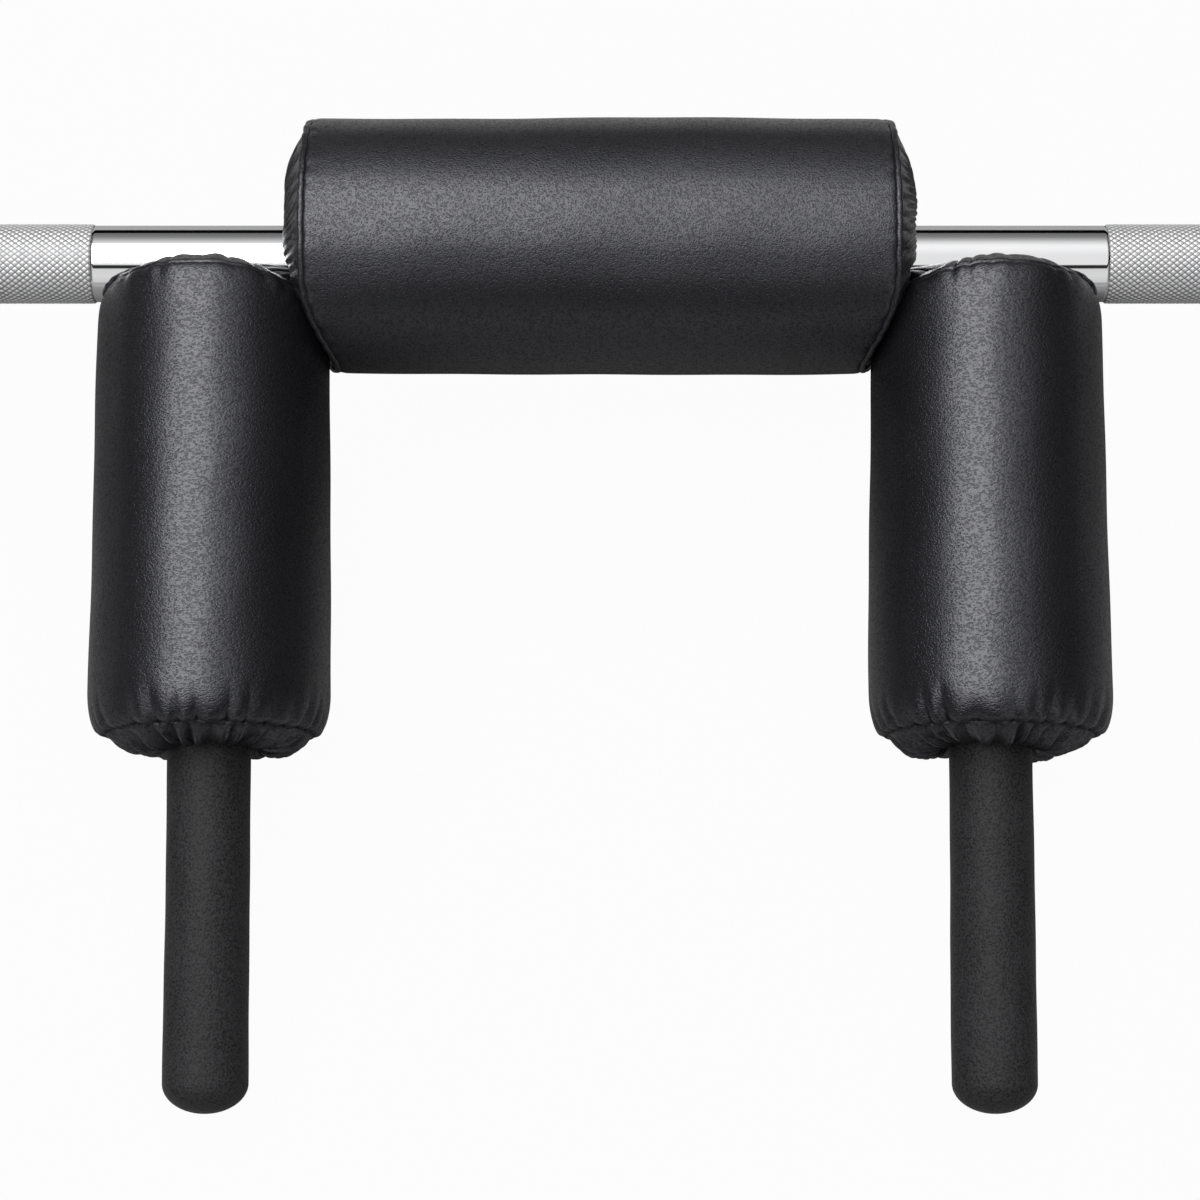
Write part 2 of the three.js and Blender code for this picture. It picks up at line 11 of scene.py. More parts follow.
import bpy
import numpy as np
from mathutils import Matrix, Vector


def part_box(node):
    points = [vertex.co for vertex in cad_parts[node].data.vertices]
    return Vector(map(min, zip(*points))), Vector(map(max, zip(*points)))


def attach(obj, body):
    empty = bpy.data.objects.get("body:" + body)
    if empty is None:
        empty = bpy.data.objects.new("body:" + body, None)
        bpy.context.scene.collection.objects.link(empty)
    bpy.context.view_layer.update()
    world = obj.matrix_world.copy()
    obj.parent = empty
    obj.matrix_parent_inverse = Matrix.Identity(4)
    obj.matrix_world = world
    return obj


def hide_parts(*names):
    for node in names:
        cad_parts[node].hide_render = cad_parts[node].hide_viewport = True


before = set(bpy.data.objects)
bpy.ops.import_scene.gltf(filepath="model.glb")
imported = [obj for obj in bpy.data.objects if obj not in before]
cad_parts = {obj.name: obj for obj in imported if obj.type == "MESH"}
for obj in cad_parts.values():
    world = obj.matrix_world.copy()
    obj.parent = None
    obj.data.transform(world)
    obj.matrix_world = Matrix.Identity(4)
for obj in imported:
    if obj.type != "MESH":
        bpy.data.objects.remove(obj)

MM = 0.001
SIDES = {"left": -1, "right": 1}
scene = bpy.context.scene
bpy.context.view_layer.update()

# %% [markdown]
# ## Where things are
# The shaft runs along X. The yoke, which is the neck pad and the two arms, is tilted about the shaft,
# because the bar lies on its collars and on the tips of its handles. It is simpler to think in the yoke's
# own directions, so every place in it is given by three lengths in millimetres: x along the shaft, s from
# the shaft towards the handles, and h out of the yoke on the side that faces up. The slope is measured from
# the model and not typed.

# %% The shaft's axis and the yoke's slope
SHAFT_R = 16.5
KNURL_R = 17.15


def middle(node):
    """The middle of a node's box, in metres."""
    low, high = (np.array(corner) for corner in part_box(node))
    return (low + high) / 2


shaft_low, shaft_high = (np.array(corner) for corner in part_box("shaft"))
axis_y = (shaft_low[1] + shaft_high[1]) / 2
axis_z = shaft_high[2] - KNURL_R * MM
hem = middle("left_shoulder_lower_elastic")
slope = atan2(axis_z - hem[2], axis_y - hem[1])
ROOT = np.array([0, axis_y, axis_z])
TO_HANDLES = np.array([0, -cos(slope), -sin(slope)])
TO_FACE = np.array([0, -sin(slope), cos(slope)])


def yoke(x, s, h):
    """The shaft's middle, plus x along it, s towards the handles and h out of the yoke, all in mm."""
    x, s, h = np.broadcast_arrays(x, s, h)
    across = x[..., None] * np.array([1, 0, 0])
    return ROOT + MM * (across + s[..., None] * TO_HANDLES + h[..., None] * TO_FACE)


print("shaft axis y, z:", round(axis_y, 5), round(axis_z, 5), "slope in degrees:", round(slope * 180 / pi, 3))

# %% [markdown]
# ## The camera
# The photograph was taken from above the handles with a long lens. Two things fix the view: the pads' ends,
# which are circles seen almost from the side, give the tilt, and how much larger the near parts look gives
# the distance. The smooth shaft is 33 mm thick, so one pixel of the picture is 0.434 mm at the shaft.

# %% Place the camera
PHOTO_TILT = radians(9.7)
LENS = 90
DISTANCE = 1302
ABOVE_AXIS = 145.8

tilt = slope + PHOTO_TILT
toward_camera = np.array([0, -sin(tilt), cos(tilt)])
picture_up = np.array([0, cos(tilt), sin(tilt)])
camera_data = bpy.data.cameras.new("camera")
camera_data.lens = LENS
camera_data.sensor_width = 36
camera_data.clip_start = 0.01
camera = bpy.data.objects.new("camera", camera_data)
camera.location = ROOT + MM * (DISTANCE * toward_camera - ABOVE_AXIS * picture_up)
camera.rotation_euler = (tilt, 0, 0)
scene.collection.objects.link(camera)
scene.camera = camera
scene.view_settings.view_transform = "Standard"
print("camera at", [round(c, 4) for c in camera.location], "elevation", round(90 - tilt * 180 / pi, 2))

# %% [markdown]
# ## Talking to shader nodes
# A finish is a small graph of nodes. Written node by node it is long and hard to read, so two small classes
# help. A Signal is one output of a node, and sums and products of signals add Math nodes by themselves. A
# Finish is a material in the making: its node method adds any other node from its type, its settings and
# the values or links of its inputs.


# %% The two shader classes
class Signal:
    """One output of a shader node. Sums and products with numbers or other signals add Math nodes."""

    def __init__(self, finish, socket):
        self.finish = finish
        self.socket = socket

    def math(self, operation, other=None, clamp=False):
        """A Math node whose first input is this signal, and whose second is a number or another signal."""
        sockets = {0: self} if other is None else {0: self, 1: other}
        return self.finish.node("ShaderNodeMath", {"operation": operation, "use_clamp": clamp}, sockets)

    def __add__(self, other):
        return self.math("ADD", other)

    def __sub__(self, other):
        return self.math("SUBTRACT", other)

    def __rsub__(self, other):
        return self * -1.0 + other

    def __mul__(self, other):
        return self.math("MULTIPLY", other)

    def __truediv__(self, other):
        return self.math("DIVIDE", other)

    __radd__ = __add__
    __rmul__ = __mul__

    def sine(self):
        """The sine of the signal."""
        return self.math("SINE")

    def clamped(self):
        """The signal held between 0 and 1."""
        return self.math("ADD", 0.0, clamp=True)

    def ramp(self, low, high, start=0.0, end=1.0):
        """Straight from start to end as the signal goes from low to high, and held outside them."""
        values = {"Value": self, "From Min": low, "From Max": high, "To Min": start, "To Max": end}
        return self.finish.node("ShaderNodeMapRange", {"clamp": True}, values)


class Finish:
    """A material in the making."""

    def __init__(self, name, world=None):
        self.holder = world or bpy.data.materials.new(name)
        self.holder.use_nodes = True
        self.tree = self.holder.node_tree
        self.tree.nodes.clear()

    def node(self, kind, settings=None, sockets=None, out=0):
        """Adds a node: its settings, then the values or links of its inputs. Returns one of its outputs."""
        made = self.tree.nodes.new(kind)
        for key, value in (settings or {}).items():
            if key == "stops":
                self._set_stops(made.color_ramp, value)
            else:
                setattr(made, key, value)
        for key, value in (sockets or {}).items():
            self._plug(self._find(made.inputs, key), value)
        return Signal(self, self._find(made.outputs, out)) if len(made.outputs) else made

    def _find(self, sockets, key):
        if isinstance(key, int):
            return sockets[key]
        return next(s for s in sockets if key in (s.identifier, s.name))

    def _plug(self, socket, value):
        if isinstance(value, Signal):
            self.tree.links.new(value.socket, socket)
        else:
            socket.default_value = value

    def _set_stops(self, ramp, stops):
        while len(ramp.elements) < len(stops):
            ramp.elements.new(0.5)
        for element, (position, colour) in zip(ramp.elements, stops):
            element.position = position
            element.color = (*colour, 1)

    def place(self, stretch=(1, 1, 1)):
        """Object coordinates, scaled by a number for each direction."""
        where = self.node("ShaderNodeTexCoord", out="Object")
        return self.node("ShaderNodeMapping", {}, {"Vector": where, "Scale": stretch})

    def noise(self, where, scale, detail=2.0, out="Fac"):
        """A smooth noise. The scale is in waves a metre, and the detail adds finer ones."""
        return self.node("ShaderNodeTexNoise", {}, {"Vector": where, "Scale": scale, "Detail": detail}, out)

    def cells(self, where, scale):
        """The distance to the nearest of many scattered points, which draws round cells."""
        values = {"Vector": where, "Scale": scale}
        return self.node("ShaderNodeTexVoronoi", {"feature": "F1"}, values, "Distance")

    def shifted(self, where, by, amount):
        """Coordinates pushed about by a colour, such as a noise's, round its middle value."""
        centred = self.node("ShaderNodeVectorMath", {"operation": "SUBTRACT"}, {0: by, 1: (0.5, 0.5, 0.5)})
        scaled = self.node("ShaderNodeVectorMath", {"operation": "SCALE"}, {0: centred, "Scale": amount})
        return self.node("ShaderNodeVectorMath", {"operation": "ADD"}, {0: where, 1: scaled})

    def mix(self, factor, first, second):
        """The first colour where the factor is 0, the second where it is 1, and between them otherwise."""
        colours = {"Factor_Float": factor, "A_Color": first, "B_Color": second}
        return self.node("ShaderNodeMix", {"data_type": "RGBA"}, colours, "Result_Color")

    def bump(self, height, depth_mm, strength=1.0, after=None):
        """A Bump node for a height between 0 and 1 that stands for depth_mm of real relief."""
        values = {"Height": height, "Distance": depth_mm * MM, "Strength": strength}
        if after is not None:
            values["Normal"] = after
        return self.node("ShaderNodeBump", {}, values)

    def surface(self, **sockets):
        """Ends the material in a Principled shader. A name's underscores stand for spaces."""
        values = {key.replace("_", " "): value for key, value in sockets.items()}
        shader = self.node("ShaderNodeBsdfPrincipled", {}, values)
        self.node("ShaderNodeOutputMaterial", {}, {"Surface": shader})
        return self.holder


def grey(level):
    """A neutral grey."""
    return (level, level, level, 1)


print("shader helpers ready")

# %% [markdown]
# ## Floor, backdrop and light
# The photograph is a cut-out on white. So the camera sees the floor as almost plain white light, with a
# trace of the real floor's soft shadow, while the chrome sees the real grey floor. The bar itself shows how
# it was lit. A polished bar is a mirror: the broad white stripe along it is a big softbox overhead, and the
# greys above and below the stripe are the room behind and in front. The thin black line near its top edge
# is a black card behind the bar, and the one below the stripe is a dark band in the room in front.
# Photographers place such dark things on purpose, because without a dark line chrome looks like plastic.

# %% The floor
FLOOR_HALF = 9.0
PAPER_WHITE = 0.965
PAPER_IN_GLOSS = 0.03


def quad(name, corners, material):
    """A flat mesh from its corners in turn, in metres."""
    mesh = bpy.data.meshes.new(name)
    mesh.from_pydata([tuple(c) for c in corners], [], [tuple(range(len(corners)))])
    mesh.materials.append(material)
    made = bpy.data.objects.new(name, mesh)
    scene.collection.objects.link(made)
    return made


paper = Finish("white_floor")
kinds = ("Camera", "Glossy", "Transmission")
ray = {kind: paper.node("ShaderNodeLightPath", out=f"Is {kind} Ray") for kind in kinds}
seen = ray["Camera"] * PAPER_WHITE + ray["Glossy"] * PAPER_IN_GLOSS + ray["Transmission"] * PAPER_WHITE
floor_shade = paper.node("ShaderNodeBsdfDiffuse", {}, {"Color": grey(0.36)})
floor_glow = paper.node("ShaderNodeEmission", {}, {"Color": grey(1.0), "Strength": 1.0})
floor_mix = paper.node("ShaderNodeMixShader", {}, {0: seen.clamped(), 1: floor_shade, 2: floor_glow})
paper.node("ShaderNodeOutputMaterial", {}, {"Surface": floor_mix})
half = FLOOR_HALF
quad("floor", [(-half, -half, 0), (half, -half, 0), (half, half, 0), (-half, half, 0)], paper.holder)
print("floor ready, metres across:", 2 * half)

# %% The dark cards, which only the chrome and the vinyl's gloss see
CARD_HALF, FRONT_CARD_HALF = 1.6, 0.30
BEHIND_Y, BEHIND_LOW, BEHIND_HIGH = axis_y + 0.5, 0.12, 0.272
FRONT_Y, FRONT_LOW, FRONT_HIGH = axis_y - 0.72, 0.16, 0.56
FRONT_EDGE, BACK_EDGE, OFF_FLOOR = axis_y - 0.52, axis_y + 0.15, 0.001
card = Finish("black_card")
card_black = card.surface(Base_Color=grey(0.004), Roughness=0.9, Specular_IOR_Level=0.0)
# The floor card's grey is a painted shadow: it darkens towards and under the bar, as the bar's shadow on the
# floor would, and only reflections see it.
shaded = Finish("shaded_card")
back = shaded.node("ShaderNodeSeparateXYZ", {}, {0: shaded.place()}, "Y")
shade = back.ramp(FRONT_EDGE, BACK_EDGE)
shade_colour = shaded.mix(shade, grey(0.30), grey(0.14))
card_shaded = shaded.surface(Base_Color=shade_colour, Roughness=0.9, Specular_IOR_Level=0.0)


def dark_card(name, corners, material):
    """A card that no ray but a glossy one sees."""
    made = quad(name, corners, material)
    for ray_kind in ("camera", "diffuse", "shadow", "transmission"):
        setattr(made, f"visible_{ray_kind}", False)


def card_corners(half, near, far, low, high):
    """A card 2 x half wide, from one y and z to another."""
    return [(-half, near, low), (half, near, low), (half, far, high), (-half, far, high)]


dark_card("card_behind", card_corners(CARD_HALF, BEHIND_Y, BEHIND_Y, BEHIND_LOW, BEHIND_HIGH), card_black)
dark_card("card_in_front", card_corners(FRONT_CARD_HALF, FRONT_Y, FRONT_Y, FRONT_LOW, FRONT_HIGH), card_black)
on_floor = card_corners(CARD_HALF, FRONT_EDGE, BACK_EDGE, OFF_FLOOR, OFF_FLOOR)
dark_card("card_on_floor", on_floor, card_shaded)
print("dark cards ready")

# %% The room round the bar
FAR_STOPS = [(0.657, 0.163), (0.731, 0.198), (0.795, 0.282), (0.848, 0.477), (0.892, 0.715), (0.95, 1.0)]
NEAR_STOPS = [(0.5, 0.62), (0.68, 0.75), (0.835, 0.70), (0.848, 0.03), (0.895, 0.02), (0.908, 0.85)]
room = bpy.data.worlds.new("studio_room")
scene.world = room
sky = Finish("studio_room", world=room)
direction = sky.node("ShaderNodeTexCoord", out="Generated")
apart = {axis: sky.node("ShaderNodeSeparateXYZ", {}, {0: direction}, out=axis) for axis in "XYZ"}
behind = apart["Y"].ramp(-0.1, 0.25)
height = apart["Z"].ramp(-1.0, 1.0)
far_wall, near_wall = (
    sky.node("ShaderNodeValToRGB", {"stops": [(at, (level,) * 3) for at, level in stops]}, {0: height})
    for stops in (FAR_STOPS, NEAR_STOPS)
)
sideways = (apart["X"] * apart["X"]).ramp(0.12, 0.5, 1.0, 0.08)
room_colour = sky.mix(behind, near_wall, far_wall)
sees = sky.node("ShaderNodeLightPath", out="Is Camera Ray")
backdrop = sky.node("ShaderNodeBackground", {}, {"Color": grey(1.0), "Strength": 1.0})
walls = sky.node("ShaderNodeBackground", {}, {"Color": room_colour, "Strength": sideways})
sky_mix = sky.node("ShaderNodeMixShader", {}, {0: sees, 1: walls, 2: backdrop})
sky.node("ShaderNodeOutputWorld", {}, {"Surface": sky_mix})
print("room ready, with bands:", len(FAR_STOPS), "behind and", len(NEAR_STOPS), "in front")


# %% The softbox
def softbox(name, place, aim, size, watts):
    """A rectangular area light at a place, aimed at a point."""
    data = bpy.data.lights.new(name, "AREA")
    data.shape = "RECTANGLE"
    data.size, data.size_y = size
    data.energy = watts
    lamp = bpy.data.objects.new(name, data)
    lamp.location = place
    away = np.array(place) - np.array(aim)
    flat = hypot(away[0], away[1])
    lamp.rotation_euler = (atan2(flat, away[2]), 0, atan2(away[0], -away[1]))
    scene.collection.objects.link(lamp)


KEY_REACH = 5.0
KEY_BACK = radians(2)
KEY_LEFT = radians(18.5)
KEY_SIZE = (5.5, 3.8)
KEY_WATTS = 228
yoke_middle = yoke(0, 100, 0)
toward_key = np.array([-sin(KEY_LEFT), cos(KEY_LEFT) * sin(KEY_BACK), cos(KEY_LEFT) * cos(KEY_BACK)])
softbox("overhead_softbox", yoke_middle + KEY_REACH * toward_key, yoke_middle, KEY_SIZE, KEY_WATTS)
print("stage and lights ready")

# %% [markdown]
# ## Surfaces from formulas
# Every new piece here is a grid of points worked out with numpy: one direction goes round the piece and the
# other goes along it. The grid helper turns such an array into a mesh. Its faces come from the rows'
# numbers by whole-array sums, so there is no loop over points. Where a direction closes on itself the last
# row is joined to the first, and where a row shrinks to a point it is closed by a pole.


# %% The grid helper
def grid_faces(rows, columns, join_rows=False):
    """Corner numbers of the quads between neighbouring rows of a grid whose columns go round."""
    r = np.arange(rows if join_rows else rows - 1)[:, None]
    c = np.arange(columns)[None, :]
    r2, c2 = (r + 1) % rows, (c + 1) % columns
    corners = [r * columns + c, r * columns + c2, r2 * columns + c2, r2 * columns + c]
    return np.stack([np.broadcast_to(k, (r.size, c.size)) for k in corners], -1).reshape(-1, 4)


def pole_faces(ring, columns, pole, forwards):
    """Triangles from a ring of corners to one pole."""
    a = ring * columns + np.arange(columns)
    b = ring * columns + (np.arange(columns) + 1) % columns
    order = (a, b) if forwards else (b, a)
    return np.stack([*order, np.full(columns, pole)], -1)


def mesh_from(name, points, quads, triangles):
    """A mesh from an array of points and two arrays of corner numbers."""
    mesh = bpy.data.meshes.new(name)
    loops = np.concatenate([quads.ravel(), triangles.ravel()]).astype(np.int32)
    sizes = np.concatenate([np.full(len(quads), 4), np.full(len(triangles), 3)]).astype(np.int32)
    mesh.vertices.add(len(points))
    mesh.vertices.foreach_set("co", points.astype(np.float32).ravel())
    mesh.loops.add(len(loops))
    mesh.loops.foreach_set("vertex_index", loops)
    mesh.polygons.add(len(sizes))
    mesh.polygons.foreach_set("loop_start", np.concatenate([[0], np.cumsum(sizes)[:-1]]).astype(np.int32))
    mesh.update(calc_edges=True)
    mesh.validate()
    mesh.polygons.foreach_set("use_smooth", np.ones(len(mesh.polygons), bool))
    return mesh


def object_from(name, mesh, material, body):
    """An object from a mesh, with its finish and its slot, that rides with a body."""
    mesh.materials.append(material)
    made = bpy.data.objects.new(name, mesh)
    scene.collection.objects.link(made)
    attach(made, body)
    return made


def piece(name, points, material, body="frame", loop=False, start="open", end="open", flip=False):
    """A piece from a grid of points in metres, rows by columns, whose columns go round.

    Rows close on themselves if loop is set, and start and end say whether the first and last row are
    left open or closed by a pole. flip turns the faces the other way."""
    rows, columns = points.shape[:2]
    quads = grid_faces(rows, columns, loop)
    flat = points.reshape(-1, 3)
    fans = []
    for which, ring, forwards in ((start, 0, False), (end, rows - 1, True)):
        if which == "pole":
            flat = np.vstack([flat, points[ring].mean(0)])
            fans.append(pole_faces(ring, columns, len(flat) - 1, forwards))
    triangles = np.vstack(fans) if fans else np.zeros((0, 3), int)
    if flip:
        quads, triangles = quads[:, ::-1], triangles[:, ::-1]
    return object_from(name, mesh_from(name, flat, quads, triangles), material, body)


def mark(made, name, values):
    """Writes a number for each of a piece's points, which its finish can read as an attribute."""
    layer = made.data.attributes.new(name, "FLOAT", "POINT")
    layer.data.foreach_set("value", np.asarray(values, np.float32).ravel())
    return made


def thicken(made, wall_mm):
    """Gives a sheet a real wall on its inner side."""
    solid = made.modifiers.new("wall", "SOLIDIFY")
    solid.thickness = wall_mm * MM
    solid.offset = -1


def soft_step(value, low, high):
    """0 below low and 1 above high, with a smooth S between them."""
    share = np.clip((value - low) / (high - low), 0, 1)
    return share * share * (3 - 2 * share)


def soft_least(a, b, blend):
    """The lesser of two arrays, rounded over where they meet."""
    return -blend * np.log(np.exp(-a / blend) + np.exp(-b / blend))


def soft_most(a, b, blend):
    """The greater of two arrays, rounded over where they meet."""
    return -soft_least(-a, -b, blend)


print("surface helpers ready")

# %% [markdown]
# ## Black vinyl
# The pads are covered in black upholstery vinyl with a fine wrinkled grain. The sine of a noise draws that
# noise's contour lines, short wrinkles that fork and close on themselves, and a finer noise breaks them up.
# A longer noise dulls some places a little, as hands and shoulders do. In a seam the vinyl is made matt,
# and shade is painted into its colour there, because little light gets in or out: an attribute on the mesh,
# in_seam, says how near each point lies to one.


# %% The vinyl finish
def vinyl(name, stretch):
    """Wrinkled black vinyl, glossier on the wrinkles' tops. The stretch sets how long they are each way."""
    look = Finish(name)
    where = look.place(stretch)
    wrinkles = (look.noise(where, 760, 1.2) * 17.0).sine() * 0.5 + 0.5
    fine = look.noise(where, 1500, 1.0)
    grain = (wrinkles * 0.6 + fine.ramp(0.3, 0.7) * 0.4).clamped()
    relief = look.bump(grain, 0.14, 1.0)
    waves = look.bump(look.noise(look.place(), 60, 2.0), 0.3, 0.3, after=relief)
    broad = look.noise(look.place(), 16, 3.0)
    dark = look.mix(broad.ramp(0.35, 0.65), (0.0036, 0.0036, 0.0042, 1), (0.0056, 0.0055, 0.0064, 1))
    colour = look.mix(grain * 0.7, dark, (0.0095, 0.0095, 0.0114, 1))
    rough = broad.ramp(0.3, 0.7, 0.30, 0.35) + (1 - grain) * 0.08
    gloss = grain.ramp(0.25, 0.75, 0.0, 0.78)
    # Painted shade in the seams: in_seam takes the base colour almost to black there. It also raises the
    # roughness and takes the coat away.
    in_seam = look.node("ShaderNodeAttribute", {"attribute_name": "in_seam"}, out="Fac")
    return look.surface(
        Base_Color=look.mix(in_seam, colour, grey(0.002)),
        Roughness=(rough + in_seam * 0.6).clamped(),
        Specular_IOR_Level=0.62, Specular_Tint=(0.88, 0.89, 1.0, 1),
        Coat_Weight=gloss * (1 - in_seam), Coat_Roughness=0.30, Normal=waves,
    )


neck_vinyl = vinyl("neck_vinyl", (1.0, 1.08, 1.08))
shoulder_vinyl = vinyl("shoulder_vinyl", (0.66, 1.12, 1.12))
print("vinyl ready")


# %% [markdown]
# ## Threads, elastic and foam
# Three soft finishes support the vinyl: waxed thread in the seams, woven elastic in the hems, and the
# closed-cell foam of the pads' cores and of the handle grips. Foam rubber is matt, and its surface is a
# skin of burst bubbles about a millimetre across, broken up by a noise that is a little finer.


# %% The soft finishes
def thread_finish():
    """Waxed thread: a fine noise stands for its twisted ply, in colour, roughness and relief."""
    look = Finish("black_thread")
    where = look.place()
    ply = look.noise(where, 2600, 2.0)
    colour = look.mix(ply, (0.003, 0.003, 0.0033, 1), (0.009, 0.009, 0.0097, 1))
    rough = ply.ramp(0.3, 0.7, 0.55, 0.7)
    return look.surface(Base_Color=colour, Roughness=rough, Normal=look.bump(ply, 0.12, 0.6))


def elastic_finish():
    """Woven elastic: slanting waves for the weave, with a fine noise for its fuzz."""
    look = Finish("woven_elastic")
    where = look.place()
    values = {"Vector": where, "Scale": 420.0}
    bands = look.node("ShaderNodeTexWave", {"bands_direction": "DIAGONAL"}, values, "Fac")
    fuzz = look.noise(where, 1800, 3.0)
    weave = (bands * 0.7 + fuzz * 0.3).clamped()
    colour = look.mix(weave, (0.008, 0.008, 0.009, 1), (0.035, 0.035, 0.038, 1))
    rough = fuzz.ramp(0.3, 0.7, 0.75, 0.95)
    return look.surface(Base_Color=colour, Roughness=rough, Normal=look.bump(weave, 0.25, 0.7))


def foam_finish(name, dark, light, cell, rough, depth, **more):
    """Closed-cell foam rubber: bubbles and a finer noise, over a slow change of tone."""
    look = Finish(name)
    where = look.place()
    drift = look.noise(where, 300, 2.0, out="Color")
    pushed = look.shifted(where, drift, 0.0015)
    bubbles = look.cells(pushed, cell).ramp(0.05, 0.65)
    fine = look.noise(pushed, cell * 1.3, 1.5)
    tone = look.noise(where, 38, 3.0)
    skin = (bubbles * 0.45 + fine.ramp(0.3, 0.7) * 0.55).clamped()
    colour = look.mix((tone.ramp(0.3, 0.7) * 0.25 + skin.ramp(0.3, 0.8) * 0.75).clamped(), dark, light)
    roughness = tone.ramp(0.3, 0.7, rough - 0.04, rough + 0.05) + skin * 0.04
    bumps = look.bump(skin, depth, 0.75)
    return look.surface(Base_Color=colour, Roughness=roughness, Specular_IOR_Level=0.3, Normal=bumps, **more)


thread = thread_finish()
elastic = elastic_finish()
grip_foam = foam_finish(
    "grip_foam", (0.0022, 0.0022, 0.0025, 1), (0.0310, 0.0310, 0.0336, 1), 850, 0.6, 0.3, Sheen_Weight=0.08,
    Sheen_Roughness=0.35,
)
core_foam = foam_finish("core_foam", (0.055, 0.055, 0.057, 1), (0.095, 0.095, 0.098, 1), 900, 0.9, 0.3)
print("soft finishes ready")

# %% [markdown]
# ## Chrome and the other metals
# Chrome plate is almost a mirror, and what makes it real is what disturbs the mirror: a slow haze in the
# polish, fine wiping scratches along the bar, and a faint unevenness of the steel below. All of these are
# small, so they go into roughness and a very shallow bump. The knurl is plated too, but its many facets are
# duller. Its finish works out how deep each point lies and paints shade into the low ones, which are also
# made duller.


# %% The metal finishes
def chrome_finish(name, level, rough, stretch=(1, 1, 1), depth=None, **more):
    """Plated steel with haze and wiping marks. The stretch makes the marks long in one direction.

    If a depth is given, which is a function of the finish, its low places get painted shade and are duller."""
    look = Finish(name)
    haze = look.noise(look.place(), 24, 4.0)
    wiped = look.noise(look.place(stretch), 900, 3.0)
    spots = look.cells(look.place(), 320).ramp(0.0, 0.09, 1.0, 0.0)
    clear = (level, level, level * 1.01, 1)
    hazy = (level * 0.95, level * 0.955, level * 0.97, 1)
    tint = look.mix(haze.ramp(0.35, 0.65), clear, hazy)
    roughness = haze.ramp(0.3, 0.7, rough, rough + 0.035) + wiped.ramp(0.45, 0.75) * 0.03 + spots * 0.05
    if depth:
        # Painted shade: the low places' colour is darkened to near black, and they are made a little rougher.
        groove_shade = (depth(look) * haze.ramp(0.2, 0.8, 0.75, 1.0)).clamped()
        tint = look.mix(groove_shade, tint, (0.05, 0.05, 0.052, 1))
        roughness = roughness + groove_shade * 0.15
    sockets = {"Metallic": 1.0, **more}
    return look.surface(
        Base_Color=tint, Roughness=roughness.clamped(), Normal=look.bump(wiped, 0.004, 0.4), **sockets
    )


def plain_metal(name, colour, dull, rough):
    """Turned metal: fine tool rings, a slow change of tone, and darker specks of old oil."""
    look = Finish(name)
    where = look.place()
    rings = look.noise(look.place((14, 1, 1)), 420, 2.0)
    tone = look.noise(where, 60, 4.0)
    specks = look.noise(where, 700, 2.0).ramp(0.62, 0.75)
    tint = look.mix((tone.ramp(0.35, 0.7) * 0.7 + specks * 0.4).clamped(), colour, dull)
    roughness = tone.ramp(0.3, 0.7, rough, rough + 0.14) + specks * 0.1
    relief = look.bump(rings, 0.02, 0.5)
    return look.surface(Base_Color=tint, Metallic=1.0, Roughness=roughness, Normal=relief)


def moulded_plastic():
    """Moulded plastic: a fine stipple in the relief over a slow change of tone."""
    look = Finish("moulded_plastic")
    where = look.place()
    stipple = look.noise(where, 1300, 3.0)
    tone = look.noise(where, 45, 3.0)
    colour = look.mix(tone, (0.012, 0.012, 0.013, 1), (0.024, 0.024, 0.026, 1))
    rough = tone.ramp(0.3, 0.7, 0.46, 0.6)
    return look.surface(Base_Color=colour, Roughness=rough, Normal=look.bump(stipple, 0.05, 0.5))


shaft_chrome = chrome_finish("shaft_chrome", 0.90, 0.035, (0.05, 1, 1))
sleeve_chrome = chrome_finish("sleeve_chrome", 0.88, 0.07, (1, 0.12, 0.12))
bronze = plain_metal("oiled_bronze", (0.62, 0.42, 0.19, 1), (0.36, 0.22, 0.10, 1), 0.3)
spring_steel = plain_metal("spring_steel", (0.42, 0.42, 0.44, 1), (0.22, 0.21, 0.21, 1), 0.34)
black_plastic = moulded_plastic()
print("metals ready")

# %% [markdown]
# ## How a pad is sewn
# Each pad is a foam tube in a vinyl sleeve. The sleeve is a panel, sewn at each end to a gathered ring that
# an elastic draws in round the tube. Three numbers say where a point of the panel is: the angle round the
# pad, the way along it, and the distance out from its axis. The gathers aren't even: a seamstress pushes
# more cloth in at one place than at the next. So the angle is first turned into a count of gathers by
# adding slow waves to an even count, and every fold, dimple and scallop of an end follows that one count.


# %% Gathers, and the shape of a sewn end
STITCH_PITCH, STITCH, THREAD = 3.4, 2.3, 0.7


def gather_count(angle, count, seed):
    """How many gathers lie before each angle: an even count, plus waves round the pad of random phase."""
    rng = np.random.default_rng(seed)
    total = count * angle / (2 * pi)
    for wave, reach in ((2, 0.22), (3, 0.20), (5, 0.16), (8, 0.12), (13, 0.08)):
        total = total + reach * np.sin(wave * angle + rng.uniform(0, 2 * pi))
    return total


def unevenness(angle, seed, spread):
    """A value near 1 that changes slowly round the pad, within about the spread."""
    rng = np.random.default_rng(seed)
    total = np.ones_like(angle)
    for wave, share in ((3, 0.4), (5, 0.3), (7, 0.3), (12, 0.25)):
        total = total + spread * share * np.sin(wave * angle + rng.uniform(0, 2 * pi))
    return total


